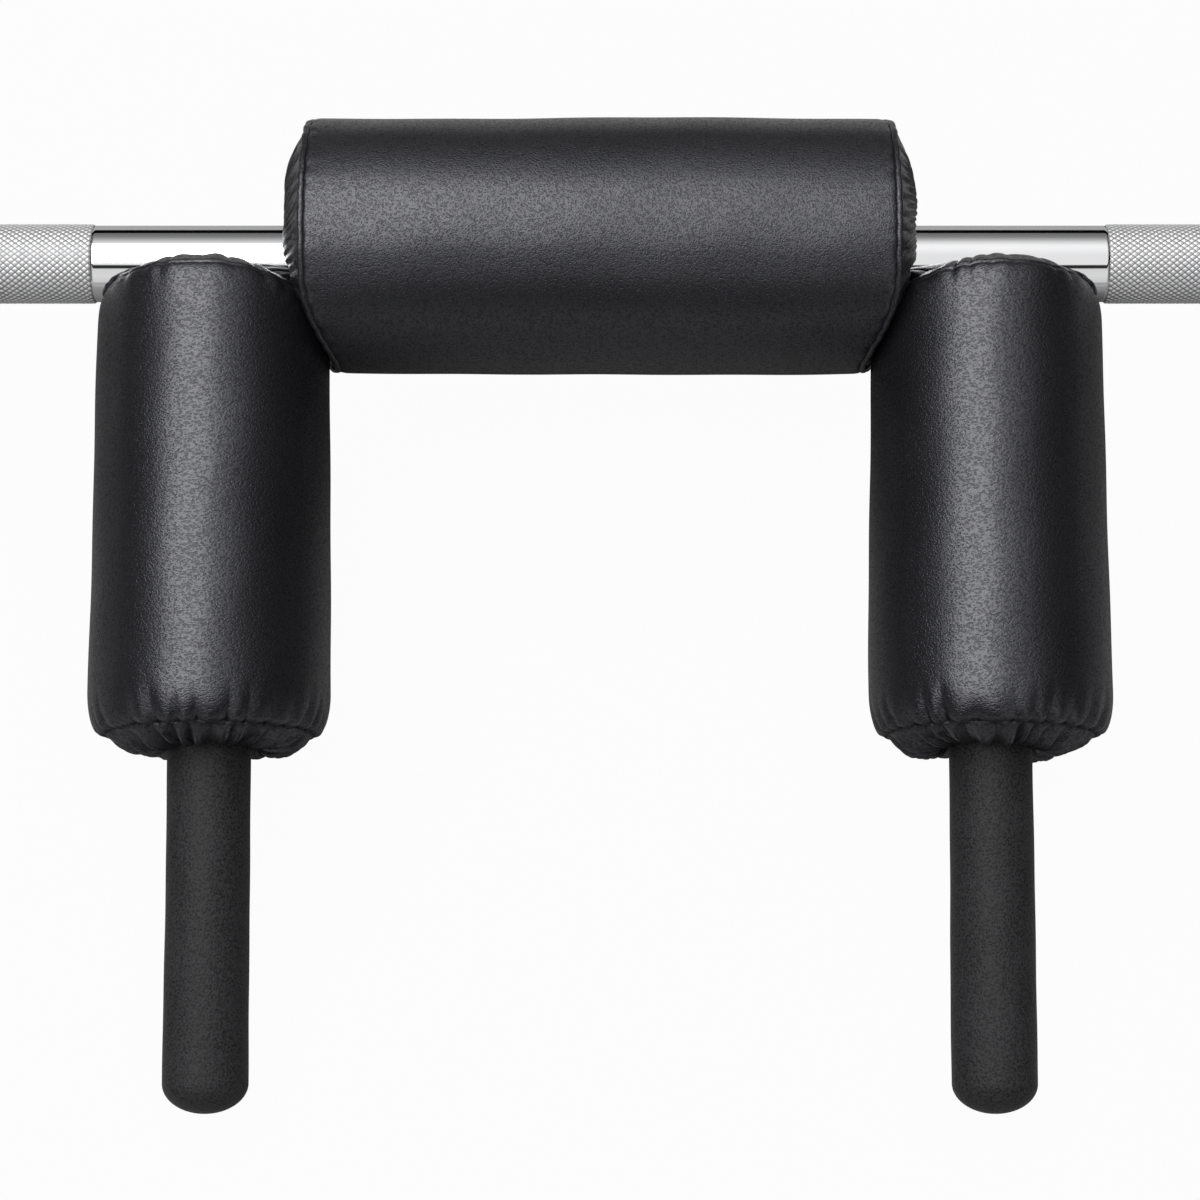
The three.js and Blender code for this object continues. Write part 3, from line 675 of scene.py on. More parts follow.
class SewnEnd:
    """One end of a pad, in millimetres. out is 1 or -1, the end's direction along the pad.

    The panel comes down from its full radius to the seam's over its rounding. There the gathers pucker
    it, and the thread's groove has a depth and is narrow. The ring goes in from the seam, a little sunk,
    to the hole. It bulges most at its peak, and its folds are as high as pleat says, crisp or round, and
    lean round the pad."""

    def __init__(
        self, seam, out, full, radius, rounding, hole, bulge, gathers, folds, pucker, pleat, peak, seed,
        lean=0.0, crisp=1.0, groove=1.0, narrow=0.45, sunk=0.35, ridged=False, welted=True,
    ):
        self.seam, self.out = seam, out
        self.full, self.radius, self.rounding = full, radius, rounding
        self.hole, self.bulge, self.peak, self.sunk = hole, bulge, peak, sunk
        self.gathers, self.folds, self.seed, self.lean = gathers, folds, seed, lean
        self.pucker, self.pleat, self.crisp, self.ridged = pucker, pleat, crisp, ridged
        self.groove, self.narrow, self.welted = groove, narrow, welted
        self.stitches = int(round(2 * pi * radius / STITCH_PITCH))

    def valley(self, angle):
        """1 where the seam's thread pulls the panel in between two gathers, and 0 on the swell between."""
        count = gather_count(angle, self.gathers, self.seed)
        return (1 - np.abs(np.sin(pi * count))) ** 1.2 * unevenness(angle, self.seed + 1, 0.55)

    def hollow(self, angle):
        """The same pull further from the seam, where the cloth's stiffness has rounded it."""
        count = gather_count(angle, self.gathers, self.seed)
        return (0.5 + 0.5 * np.cos(2 * pi * count)) ** 0.85 * unevenness(angle, self.seed + 1, 0.7)

    def reach(self, angle):
        """How far up the panel each dimple fades: longer where more cloth is gathered."""
        return (3.4 + 2.9 * self.pucker) * unevenness(angle, self.seed + 3, 0.7)

    def edge(self, angle, seam):
        """The seam itself: its place along the pad, scalloped by the gathers, and its radius."""
        pull = self.valley(angle)
        return seam - self.out * 1.2 * self.pucker * (pull - 0.3), self.radius - 0.6 * self.pucker * pull


def panel_radius(distance, angle, end):
    """The panel's radius at a distance in from an end's seam.

    A quarter of an ellipse takes it from the seam's radius to the full one, the gathers press dimples
    that fade over their reach, and the thread draws a narrow groove at the seam, deeper under each
    stitch."""
    share = np.clip(1 - distance / end.rounding, 0, 1)
    rise = end.radius + (end.full - end.radius) * np.sqrt(np.clip(1 - share**2, 0, 1))
    sharp = 0.5 * end.valley(angle) * np.exp(-((distance / 2.0) ** 1.5))
    dimple = end.pucker * (sharp + 0.9 * end.hollow(angle) * np.exp(-((distance / end.reach(angle)) ** 1.6)))
    stitch = 0.75 + 0.35 * np.cos(end.stitches * angle)
    groove = end.groove * stitch * np.exp(-((distance / end.narrow) ** 2))
    return rise - dimple - groove


print("a sewn end is ready to use")

# %% [markdown]
# ## Panels, gathered rings, welts and stitches
# With the end described, the pieces of a pad follow from it. The panel is a tube between two seams. A
# gathered ring runs from the seam in to the hole. Most rings have rounded puffs beside the seam and folds
# further in, and the shoulder pads' lower ones, which are drawn in hardest, have sharp crests with hollow
# valleys between them. A welt is a rolled strip of vinyl along the seam. Those lower ends have none, because
# there the seam lies in a deep groove instead. The stitches are small capsules laid in each seam, as many as
# its length has room for at one pitch.


# %% Pad helpers
WELT, WELT_COLUMNS = 1.4, 560
SEAM_REACH = 0.7
PANEL_ROWS, PANEL_COLUMNS, PANEL_WALL = 122, 400, 1.1
RING_ROWS, RING_COLUMNS, RING_WALL = 34, 720, 0.9


def turn_angles(columns):
    """Equal angles once round."""
    return 2 * pi * np.arange(columns) / columns


def closer_to_ends(rows):
    """Shares from 0 to 1 that lie closer together near both ends: a power of the distance from each."""
    even = np.linspace(-1, 1, rows)
    return 0.5 + 0.5 * np.sign(even) * (1 - (1 - np.abs(even)) ** 1.7)


def panel_points(pad):
    """The panel's grid, from the low seam to the high one, and how near each point is to a seam.

    The radius is the pad's own, with a slow swell in the middle, less what each end's rounding, dimples
    and groove take away."""
    angle = turn_angles(PANEL_COLUMNS)[None, :]
    share = closer_to_ends(PANEL_ROWS)[:, None]
    low_at, _ = pad.low.edge(angle, pad.seam_at(pad.low, angle))
    high_at, _ = pad.high.edge(angle, pad.seam_at(pad.high, angle))
    along = low_at + (high_at - low_at) * share
    near_low = panel_radius(np.abs(along - low_at), angle, pad.low)
    near_high = panel_radius(np.abs(high_at - along), angle, pad.high)
    radius = np.where(share < 0.5, near_low, near_high)
    full = pad.low.full + (pad.high.full - pad.low.full) * share
    radius = radius + (full - np.where(share < 0.5, pad.low.full, pad.high.full))
    radius = radius + pad.swell * (4 * share * (1 - share)) ** 0.8
    radius = radius + pad.softness(angle, along)
    near_seam = sum(np.exp(-((np.abs(along - at) / SEAM_REACH) ** 2)) for at in (low_at, high_at))
    return pad.place(along, angle, radius), near_seam


def puffs(count):
    """Rounded tops with sharp valleys between them, one for each gather, from 0 to 1."""
    return np.abs(np.sin(pi * count)) ** 0.75


def ridges(count):
    """Sharp crests with hollow valleys between them, one where each gather is pulled in, from 0 to 1."""
    return (1 - np.abs(np.sin(pi * count))) ** 0.8


def ring_points(pad, end):
    """The gathered ring's grid, from the seam in to the hole, and how near each point is to the seam.

    It starts in the groove where the panel ends and comes up over a small lip. Its arch along the pad
    rises as a sine to its peak on the way in. Puffs or ridges stand on it beside the seam, one for each
    gather, and give way to folds, which lean round on their way in. At the hole the cloth turns back
    over the elastic."""
    angle = turn_angles(RING_COLUMNS)[None, :]
    share = np.linspace(0, 1, RING_ROWS)[:, None] ** 1.5
    seam_at, seam_radius = end.edge(angle, pad.seam_at(end, angle))
    lean = (end.lean + 0.06 * np.sin(3 * angle + end.seed)) * share
    shape = ridges if end.ridged else puffs
    puff = shape(gather_count(angle + 0.4 * lean, end.gathers, end.seed))
    puff = puff * unevenness(angle, end.seed + 2, 0.4)
    fold_seed = end.seed if end.folds == end.gathers else end.seed + 5
    fold = shape(gather_count(angle + lean, end.folds, fold_seed)) ** end.crisp
    fold = fold * unevenness(angle, end.seed + 4, 0.6)
    inner = soft_step(share, 0.06, 0.4)
    crest = end.pleat * ((1 - inner) * 0.8 * (puff - 0.6) + inner * (fold - 0.5))
    crest = crest * soft_step(share, -0.05, 0.12)
    beyond = 0.5 * (share - end.peak) / (1 - end.peak)
    arch = end.bulge * np.sin(pi / 2 * np.where(share < end.peak, share / end.peak, 1 + beyond))
    lip = soft_step(share, 0.0, 0.035)
    turned = 3.2 * soft_step(share, 0.86, 1.0)
    out = arch + crest * (1 - 0.4 * share) - turned + 0.7 * min(end.groove, 1.0) * lip
    radius = seam_radius - end.sunk + (end.hole - seam_radius + end.sunk) * share
    radius = radius + 0.3 * end.pleat * (puff - 0.5) * soft_step(share, 0.05, 0.2) * (1 - share)
    radius = lip * radius + (1 - lip) * panel_radius(0.0 * angle, angle, end)
    near_seam = np.exp(-((share / 0.045) ** 2)) + 0 * angle
    return pad.place(seam_at + end.out * out, angle, radius), near_seam


def seam_curve(pad, end, samples, out=0.0, lift=0.0):
    """Points along an end's seam, moved out along the pad and up off it by some millimetres."""
    angle = turn_angles(samples)
    at, radius = end.edge(angle, pad.seam_at(end, angle))
    return pad.place(at + end.out * out, angle, radius + lift)


def directions(points, ahead, centre):
    """Three unit directions at each point of a closed curve: ahead, out from the centre, and across
    both."""
    ahead = ahead / np.linalg.norm(ahead, axis=1, keepdims=True)
    outward = points - centre
    outward -= (outward * ahead).sum(1, keepdims=True) * ahead
    outward /= np.linalg.norm(outward, axis=1, keepdims=True)
    return ahead, outward, np.cross(ahead, outward)


def tube_along(curve, radius, sides, squash=1.0):
    """A tube's grid round a closed curve: at each point a ring across the curve, flattened inwards by
    squash."""
    _, outward, side = directions(curve, np.roll(curve, -1, 0) - np.roll(curve, 1, 0), curve.mean(0))
    turn = turn_angles(sides)[None, :, None]
    spokes = squash * np.cos(turn) * outward[:, None] + np.sin(turn) * side[:, None]
    return curve[:, None] + (np.asarray(radius).reshape(-1, 1, 1) * MM) * spokes


def stitch_mesh(name, pad, end):
    """A row of stitches: each is a small capsule along the seam, and all of them are one mesh.

    A capsule's points are its middle, plus its way along the thread, plus a ring whose radius falls to
    nothing at both tips. Their middles are at equal angles, where the seam's groove is deepest."""
    fine = 24
    curve = seam_curve(pad, end, end.stitches * fine, out=-0.35, lift=-0.3 - 0.2 * end.groove)
    index = np.arange(end.stitches) * fine
    centre = curve[index]
    ahead = curve[(index + 4) % len(curve)] - curve[index - 4]
    ahead, outward, side = directions(centre, ahead, curve.mean(0))
    rows, sides = 5, 6
    way = np.linspace(-1, 1, rows)
    ring = np.sqrt(np.clip(1 - way**4, 0.02, 1)) * THREAD / 2 * MM
    tip_dive = 0.35 * MM
    turn = turn_angles(sides)
    spokes = np.cos(turn)[None, :, None] * outward[:, None] + np.sin(turn)[None, :, None] * side[:, None]
    points = (
        centre[:, None, None]
        + (way * STITCH / 2 * MM)[None, :, None, None] * ahead[:, None, None]
        + (-(way**2) * tip_dive)[None, :, None, None] * outward[:, None, None]
        + ring[None, :, None, None] * spokes[:, None]
    )
    tips = centre[:, None] + np.array([-1.0, 1.0])[None, :, None] * (STITCH / 2 * MM) * ahead[:, None]
    tips = tips - tip_dive * outward[:, None]
    points = np.concatenate([points.reshape(end.stitches, -1, 3), tips], 1)
    first_pole = rows * sides
    fans = [pole_faces(0, sides, first_pole, False), pole_faces(rows - 1, sides, first_pole + 1, True)]
    offset = (np.arange(end.stitches) * (first_pole + 2))[:, None, None]
    quads = (grid_faces(rows, sides)[None] + offset).reshape(-1, 4)
    triangles = (np.vstack(fans)[None] + offset).reshape(-1, 3)
    mesh = mesh_from(name, points.reshape(-1, 3), quads, triangles)
    return object_from(name, mesh, thread, "frame")


print("pad helpers ready")

# %% [markdown]
# ## The three pads
# The neck pad lies along the shaft and is pushed back from the arms by the shoulder pads, so its ends are
# dented on that side. The shoulder pads stand on the arms, and their upper ends sit on the shaft like
# saddles. Each pad is an object of one small class with its own directions, and the dents are limits that a
# point may not pass, rounded off as foam rounds them.

# %% The ends of the three pads
ARM_X = 167.0
TOE_IN = radians(0.57)
GAP = 0.9
NECK_BACK = 7.7
NECK_R = 55.0
SHOULDER_TOP_R, SHOULDER_LOW_R = 48.3, 50.1
SHOULDER_TOP, SHOULDER_LOW = 13.0, 204.8


def neck_end(out):
    """An end of the neck pad: it bulges, and its fine folds lean round on their way to the hole."""
    return SewnEnd(
        seam=out * 124.1, out=out, full=NECK_R, radius=54.1, rounding=3.2, hole=17.6, bulge=9.6, gathers=34,
        folds=70, pucker=0.25, pleat=1.3, peak=0.72, seed=40 + out, lean=0.35 * out, crisp=2.2, groove=0.9,
    )


def shoulder_top(sign):
    """A shoulder pad's upper end: rounded, with shallow puffs."""
    return SewnEnd(
        seam=SHOULDER_TOP, out=-1, full=SHOULDER_TOP_R, radius=46.4, rounding=9.0, hole=18.5, bulge=6.0,
        gathers=26, folds=26, pucker=0.35, pleat=0.9, peak=0.5, seed=50 + sign, lean=0.1,
    )


def shoulder_low(sign):
    """A shoulder pad's lower end: drawn in hard, with high ridges and a deep groove in place of a welt."""
    return SewnEnd(
        seam=SHOULDER_LOW, out=1, full=SHOULDER_LOW_R, radius=44.8, rounding=17.0, hole=19.0, bulge=5.8,
        gathers=29, folds=29, pucker=1.2, pleat=5.2, peak=0.6, seed=60 + sign, groove=4.4, narrow=0.62,
        sunk=0.85, ridged=True, welted=False,
    )


print("a shoulder pad is", round(SHOULDER_LOW - SHOULDER_TOP, 1), "mm long between its seams")

# %% The pads' directions and dents
CREST_AT, CREST_LENGTH = 4.0, 9.0
CREST_R, CREST_RISE = 30.0, 18.6
CORE_SADDLE_R = 25.0
FAR_OFF = 400.0


def on_arm(sign, along, across, h):
    """A place on an arm, turned by the toe-in: along it, across it in the yoke's plane, and out of that
    plane."""
    lean = sign * TOE_IN
    x = sign * ARM_X + across * cos(lean) - along * sin(lean)
    return yoke(x, along * cos(lean) + across * sin(lean), h)


def room_beside(s, h, arm_x, ahead, grown):
    """How far out along the shaft a point may lie before it meets a shoulder pad.

    The pad's end rises from its crest as a root of the way down the arm. At a height h off the yoke's
    plane its radius leaves half a chord to each side of the arm. The pad is met a little ahead of its
    end, and grown."""
    share = np.clip((s + ahead - CREST_AT) / CREST_LENGTH, 0, 1)
    outside = np.where(s + ahead > CREST_AT, CREST_R + CREST_RISE * np.sqrt(share), 0.0)
    half_chord = np.sqrt(np.clip((outside + GAP + grown) ** 2 - h**2, 0, None))
    return np.where(half_chord > 0, arm_x - half_chord, FAR_OFF)


class Pad:
    """What the three pads share."""

    def softness(self, angle, along):
        """Shallow waves of the foam under the vinyl, a fraction of a millimetre high."""
        waves = np.sin(2 * angle + along / 37 + self.seed) * 0.22
        waves = waves + np.sin(3 * angle - along / 23 + 2.1 * self.seed) * 0.14
        return waves + 0.10 * np.sin(5 * angle + along / 9.5 + 0.7 * self.seed)


class NeckPad(Pad):
    """Its axis is the shaft's, moved back. The angle starts at the yoke's face and goes to the handles."""

    seed = 3
    swell = 0.35

    def __init__(self):
        self.low, self.high = neck_end(-1), neck_end(1)

    def place(self, along, angle, radius):
        """A point of the cover, kept off the shoulder pads by a limit that is rounded where it begins."""
        s = -NECK_BACK + radius * np.sin(angle)
        h = radius * np.cos(angle)
        limit = room_beside(s, h, ARM_X - s * tan(TOE_IN), 1.0, 0.0)
        return yoke(np.sign(along) * soft_least(np.abs(along), limit, 0.8), s, h)

    def core_place(self, along, angle, radius):
        """As place, but the bore stays round the shaft while the outside is pushed back."""
        bore, outside = 16.3, 50
        share = np.clip((radius - bore) / (outside - bore), 0, 1)
        s = -NECK_BACK * share + radius * np.sin(angle)
        h = radius * np.cos(angle)
        limit = room_beside(s, h, ARM_X, 9.0, 9.0)
        return yoke(np.sign(along) * np.minimum(np.abs(along), limit), s, h)

    def seam_at(self, end, angle):
        """The seam is drawn in towards the handles, where the shoulder pads need room for its welt, and
        a little at the back: half a cosine wave and a narrow bell."""
        off = np.abs((angle - pi / 2 + pi) % (2 * pi) - pi)
        dent = 12.0 * (0.5 + 0.5 * np.cos(np.clip(off / radians(62), 0, 1) * pi))
        back = 6.2 * np.exp(-(((pi - off) / radians(15)) ** 2))
        return end.seam - end.out * (dent + back)


class ShoulderPad(Pad):
    """Its axis is an arm's. The angle starts at the yoke's face and goes to the bar's right-hand end."""

    swell = 0.3

    def __init__(self, sign):
        self.sign = sign
        self.seed = 5 + sign
        self.low, self.high = shoulder_top(sign), shoulder_low(sign)

    def place(self, along, angle, radius):
        """A point of the cover, kept off the shaft by half a chord of its round section."""
        h = radius * np.cos(angle)
        half_chord = np.sqrt(np.clip((SHAFT_R + GAP) ** 2 - h**2, 0, None))
        limit = np.where(half_chord > 0, half_chord, -FAR_OFF)
        return on_arm(self.sign, soft_most(along, limit, 0.7), radius * np.sin(angle), h)

    def core_place(self, along, angle, radius):
        """As place, but further off the shaft, because the cover's end is in between."""
        h = radius * np.cos(angle)
        half_chord = np.sqrt(np.clip(CORE_SADDLE_R**2 - h**2, 0, None))
        return on_arm(self.sign, np.maximum(along, half_chord), radius * np.sin(angle), h)

    def seam_at(self, end, angle):
        """The upper seam goes round a saddle: it stands further from the shaft at the pad's two sides,
        and most where the neck pad presses on it."""
        inward = -self.sign * np.sin(angle)
        dip = np.where(inward > 0, 10.0 * inward**2, 6.2 * inward**4)
        return end.seam + (dip if end is self.low else 0 * dip)


neck = NeckPad()
shoulders = {side_name: ShoulderPad(sign) for side_name, sign in SIDES.items()}
print("the neck pad is", round(neck.high.seam - neck.low.seam, 1), "mm long between its seams")


# %% Sew the pads
def sew(pad, title, ends, material):
    """Makes a pad's panel, and for each end its gathered ring, its welt if it has one, and its stitches.

    A welt is a flattened tube, and a sine of the count of gathers makes it a little thicker on each of
    them."""
    cover_node = f"{title}_cover"
    points, near_seam = panel_points(pad)
    panel = mark(piece(f"{title}_panel", points, material), "in_seam", near_seam)
    thicken(panel, PANEL_WALL)
    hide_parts(cover_node)
    for end, label in zip((pad.low, pad.high), ends):
        points, near_seam = ring_points(pad, end)
        ring = piece(f"{title}_{label}_gathers", points, material, flip=end is pad.low)
        thicken(mark(ring, "in_seam", near_seam), RING_WALL)
        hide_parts(cover_node)
        if end.welted:
            gathers = gather_count(turn_angles(WELT_COLUMNS), end.gathers, end.seed)
            curve = seam_curve(pad, end, WELT_COLUMNS, out=WELT * 0.6, lift=-0.2)
            roll = tube_along(curve, WELT * (1 + 0.05 * np.sin(2 * pi * gathers)), 14, squash=0.6)
            welt = piece(f"{title}_{label}_welt", roll, material, loop=True)
            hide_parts(cover_node)
        stitches = stitch_mesh(f"{title}_{label}_stitches", pad, end)
        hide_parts(cover_node)
        print(f"{title} {label}: {end.gathers} gathers, {end.stitches} stitches")


sew(neck, "neck", ("left", "right"), neck_vinyl)
for side_name, pad in shoulders.items():
    sew(pad, f"{side_name}_shoulder", ("upper", "lower"), shoulder_vinyl)

# %% [markdown]
# ## Elastics and foam cores
# A ring of round elastic lies in each hem, and each pad's core is a tube of foam with flat ends. Both are
# hidden when the pads are on, but they are what holds the gathers in and fills the panel, so they are made
# like the rest.


# %% The hems' elastics and the cores
ELASTIC_R, HEM_BEHIND, HEM_LIFT = 1.4, 4.6, 1.9
CORE_INSET, COVER_WALL = 6.8, 1.6


def hem_curve(pad, end):
    """The elastic's centre line: a ring just behind the hole's edge, and inside the cover."""
    return pad.place(end.seam - end.out * HEM_BEHIND, turn_angles(160), end.hole + HEM_LIFT)


def core_end(end, bore):
    """Half of a core's profile: from the bore over the flat end and its rounded rim to the outside."""
    outside = end.radius - COVER_WALL
    steps = [(0, bore), (0, outside - 4), (3, outside), (end.rounding, end.full - COVER_WALL)]
    return [(end.seam - end.out * (CORE_INSET + step), radius) for step, radius in steps]


def core_points(pad, bore):
    """The core's closed profile carried round the pad: over one end, along the outside and back in the
    bore."""
    stops = core_end(pad.low, bore) + core_end(pad.high, bore)[::-1]
    at, radius = (np.array(column)[:, None] for column in zip(*stops))
    return pad.core_place(at, turn_angles(96)[None, :], radius)


def fill(pad, title, ends, bore):
    """Makes a pad's core and the elastics of its two hems."""
    core = piece(f"{title}_core", core_points(pad, bore), core_foam, loop=True)
    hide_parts(f"{title}_foam")
    for end, label in zip((pad.low, pad.high), ends):
        round_hem = tube_along(hem_curve(pad, end), ELASTIC_R, 10)
        hem = piece(f"{title}_{label}_hem", round_hem, elastic, loop=True)
        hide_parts(f"{title}_{label}_elastic")


fill(neck, "neck", ("left", "right"), SHAFT_R + 0.4)
for side_name, pad in shoulders.items():
    fill(pad, f"{side_name}_shoulder", ("upper", "lower"), 13.1)
print("cores and elastics ready")

# %% [markdown]
# ## The handle grips
# Each handle is a sleeve of foam rubber with a closed, rounded end, pushed over the arm. Foam is cut and
# glued by hand, so its diameter wanders by a tenth or two and the dome isn't a perfect one.

# %% Make the grips
GRIP_R, GRIP_BORE_R = 17.75, 13.2
GRIP_START, GRIP_TIP, GRIP_DOME = 199.6, 363.6, 12.5
GRIP_ROWS, DOME_ROWS, GRIP_COLUMNS = 150, 26, 160


def grip_points(sign):
    """Rows run down the grip at its radius, then round an ellipse to the tip, with slow waves of the
    foam added."""
    dome_at = GRIP_TIP - GRIP_DOME
    turn = np.linspace(0, pi / 2, DOME_ROWS + 1)[1:-1]
    body = np.linspace(GRIP_START, dome_at, GRIP_ROWS)[1:]
    along = np.concatenate([[GRIP_START, GRIP_START], body, dome_at + GRIP_DOME * np.sin(turn)])
    widening = GRIP_R - 0.2 * (1 - (body - GRIP_START) / (dome_at - GRIP_START))
    radius = np.concatenate([[GRIP_BORE_R, GRIP_R - 1.0], widening, GRIP_R * np.cos(turn)])
    radius[2:4] -= np.array([0.4, 0.1])
    angle = turn_angles(GRIP_COLUMNS)[None, :]
    along, radius = along[:, None], radius[:, None]
    wave = 0.10 * np.sin(2 * angle + along / 31 + sign) + 0.07 * np.sin(3 * angle - along / 17)
    wave = wave + 0.05 * np.sin(along / 6.5 + sign)
    radius = radius + wave * np.clip(radius / GRIP_R, 0, 1)
    return on_arm(sign, along, radius * np.sin(angle), radius * np.cos(angle))


for side_name, sign in SIDES.items():
    grip = piece(f"{side_name}_handle_grip", grip_points(sign), grip_foam, end="pole")
    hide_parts(f"{side_name}_grip")
print("grips ready")

# %% [markdown]
# ## The shaft and its knurl
# The shaft is one bar with a round section, carried along its centre line: straight through the yoke, down
# through two bends at each end, and out to the journals that the sleeves turn on. The knurl is cut by two
# crossed sets of fine helical grooves. Its height at a point is the lower of two triangle waves, one for
# each set, which leaves rows of small pyramids with their tips worn flat. It is real geometry here, because
# its glitter comes from its facets.

# %% The shaft's centre line
KNURL_START, KNURL_END = 218.7, 418.7
STRAIGHT = 562.0
BEND_R, BEND, BEND_ROWS = 55.0, radians(50), 26
CAMBER = 80.0
STUB = 8.0
THRUST_WASHER, SEAT_GAP = 3.0, 0.3


def bend_path():
    """The right half's centre line from the knurl's end on: places, heights and slopes, through both
    bends."""
    drop = BEND_R * (1 - cos(BEND))
    slant = (CAMBER - 2 * drop) / tan(BEND)
    run = BEND_R * sin(BEND)
    turn = np.linspace(0, BEND, BEND_ROWS)
    first = np.stack([STRAIGHT + BEND_R * np.sin(turn), -BEND_R * (1 - np.cos(turn)), turn], 1)
    far = STRAIGHT + 2 * run + slant
    second = np.stack([far - BEND_R * np.sin(turn), -CAMBER + BEND_R * (1 - np.cos(turn)), turn], 1)[::-1]
    return np.vstack([first, second]), far + STUB


def from_axis(x, side, up):
    """A place in metres, from millimetres along the shaft's axis, back from it and up from it."""
    return np.stack(np.broadcast_arrays(x * MM, axis_y + side * MM, axis_z + up * MM), -1)


def sweep_rings(stations, sign):
    """A ring across the centre line at each station of (x, height, slope, radius), for one half of the
    bar."""
    x, z, turn, radius = (stations[:, k][:, None] for k in range(4))
    angle = turn_angles(128)[None, :]
    up = radius * np.cos(angle)
    return from_axis(sign * (x + up * np.sin(turn)), radius * np.sin(angle), z + up * np.cos(turn))


path, shoulder_x = bend_path()
sleeve_x = shoulder_x + THRUST_WASHER + 2 * SEAT_GAP
collar_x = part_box("right_collar")[0][0] / MM
print("sleeve starts at", round(sleeve_x, 2), "mm, collar in the model at", round(collar_x, 2))

# %% The smooth shaft and its journals
BENEATH_KNURL = 16.3
SLEEVE, CAP_SEAT_DEPTH = 412.0, 16.0
SEAT_FLOOR = SLEEVE - CAP_SEAT_DEPTH
RETAINER = 2.5
JOURNAL_R, GROOVE_R = 14.0, 12.8
GROOVE_AT = SEAT_FLOOR + SEAT_GAP + RETAINER + 2 * SEAT_GAP - SEAT_GAP
GROOVE_WIDTH = 2.2


def level(height, *steps):
    """Stations where the centre line runs level at a height, from pairs of a place and a radius."""
    return [(x, height, 0, radius) for x, radius in steps]


def half_stations():
    """Stations from the middle of the bar to its end, with tight pairs beside each step of the radius."""
    full, stub, journal = SHAFT_R, shoulder_x, JOURNAL_R
    start, end = sleeve_x + GROOVE_AT, sleeve_x + GROOVE_AT + GROOVE_WIDTH
    rows = level(0, (0, full), (120, full), (KNURL_START - 1.4, full), (KNURL_START - 0.6, full))
    rows += level(0, (KNURL_START - 0.3, BENEATH_KNURL), (KNURL_END + 0.3, BENEATH_KNURL))
    rows += level(0, (KNURL_END + 0.6, full), (KNURL_END + 1.4, full))
    rows += [(x, z, turn, full) for x, z, turn in path]
    rows += level(-CAMBER, (stub - 0.8, full), (stub - 0.3, full), (stub, full - 0.4))
    rows += level(-CAMBER, (stub, journal + 0.5), (stub + 0.01, journal), (stub + 1.5, journal))
    rows += level(-CAMBER, (start - 0.4, journal), (start, journal), (start, GROOVE_R), (end, GROOVE_R))
    rows += level(-CAMBER, (end, journal), (end + 0.4, journal), (end + 1.5, journal))
    rows += level(-CAMBER, (end + 2.5, journal - 1))
    return np.array(rows, float)


stations = half_stations()
right_rings = sweep_rings(stations, 1)
left_rings = sweep_rings(stations[1:], -1)[::-1]
rings = np.vstack([left_rings, right_rings])
bar = piece("bent_shaft", rings, shaft_chrome, start="pole", end="pole", flip=True)
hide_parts("shaft")
print("shaft rows:", len(rings))

# %% The knurled bands
STARTS = 40
DIAMOND = 3.3
KNURL_DEPTH = 0.6
KNURL_ROWS, KNURL_COLUMNS = 390, 240


def triangle_wave(count):
    """0 in a groove and 1 half way to the next."""
    return 1 - np.abs(2 * (count % 1) - 1)


def knurl_points(sign):
    """Height is the lower of two crossed triangle waves, flat at the tips and faded out at the band's
    two edges."""
    x = np.linspace(KNURL_START, KNURL_END, KNURL_ROWS)[:, None]
    angle = turn_angles(KNURL_COLUMNS)[None, :]
    way = x / DIAMOND
    turns = STARTS * angle / (2 * pi)
    cut = np.minimum(triangle_wave(turns + way), triangle_wave(turns - way))
    height = np.minimum(cut * 1.5, 1.0)
    edge = soft_step(np.minimum(x - KNURL_START, KNURL_END - x), 0.0, 0.7)
    radius = KNURL_R - KNURL_DEPTH * (1 - height) * edge - (1 - edge) * (KNURL_R - SHAFT_R + 0.1)
    return from_axis(sign * x, radius * np.sin(angle), radius * np.cos(angle))


def groove_depth(look):
    """1 in a groove and 0 on a tip: the same two crossed waves as the mesh, worked out in the shader."""
    part = {axis: look.node("ShaderNodeSeparateXYZ", {}, {0: look.place()}, axis) for axis in "XYZ"}
    turns = (part["Y"] - axis_y).math("ARCTAN2", part["Z"] - axis_z) * (STARTS / (2 * pi))
    way = part["X"] / (DIAMOND * MM)
    cut = (turns + way).math("PINGPONG", 0.5).math("MINIMUM", (turns - way).math("PINGPONG", 0.5))
    return cut.ramp(0.03, 0.16, 1.0, 0.0)


knurl_chrome = chrome_finish(
    "knurl_chrome", 0.75, 0.36, depth=groove_depth, Metallic=0.38, Specular_IOR_Level=0.2
)
for side_name, sign in SIDES.items():
    band = piece(f"{side_name}_knurl", knurl_points(sign), knurl_chrome, flip=sign > 0)
    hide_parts("shaft")
    print(side_name, "knurl faces:", len(band.data.polygons))

# %% [markdown]
# ## The sleeves
# A sleeve is a thick tube that turns on two bronze bushings. Its collar stops the plates, a thrust washer
# keeps it off the shaft's shoulder, and a washer and a spring clip on the journal hold it on. A cap closes
# the outer end, held by a wire ring. All but the clip and the ring are turned: a profile carried once round
# an axis. Sharp corners of a machined piece are never quite sharp, so each corner of a profile is cut by a
# small round, and a tight pair of points beside it keeps the smooth shading from smearing the flat faces.
# The two open rings stay as the model has them.

# %% The turning helpers
TURNED_COLUMNS = 112


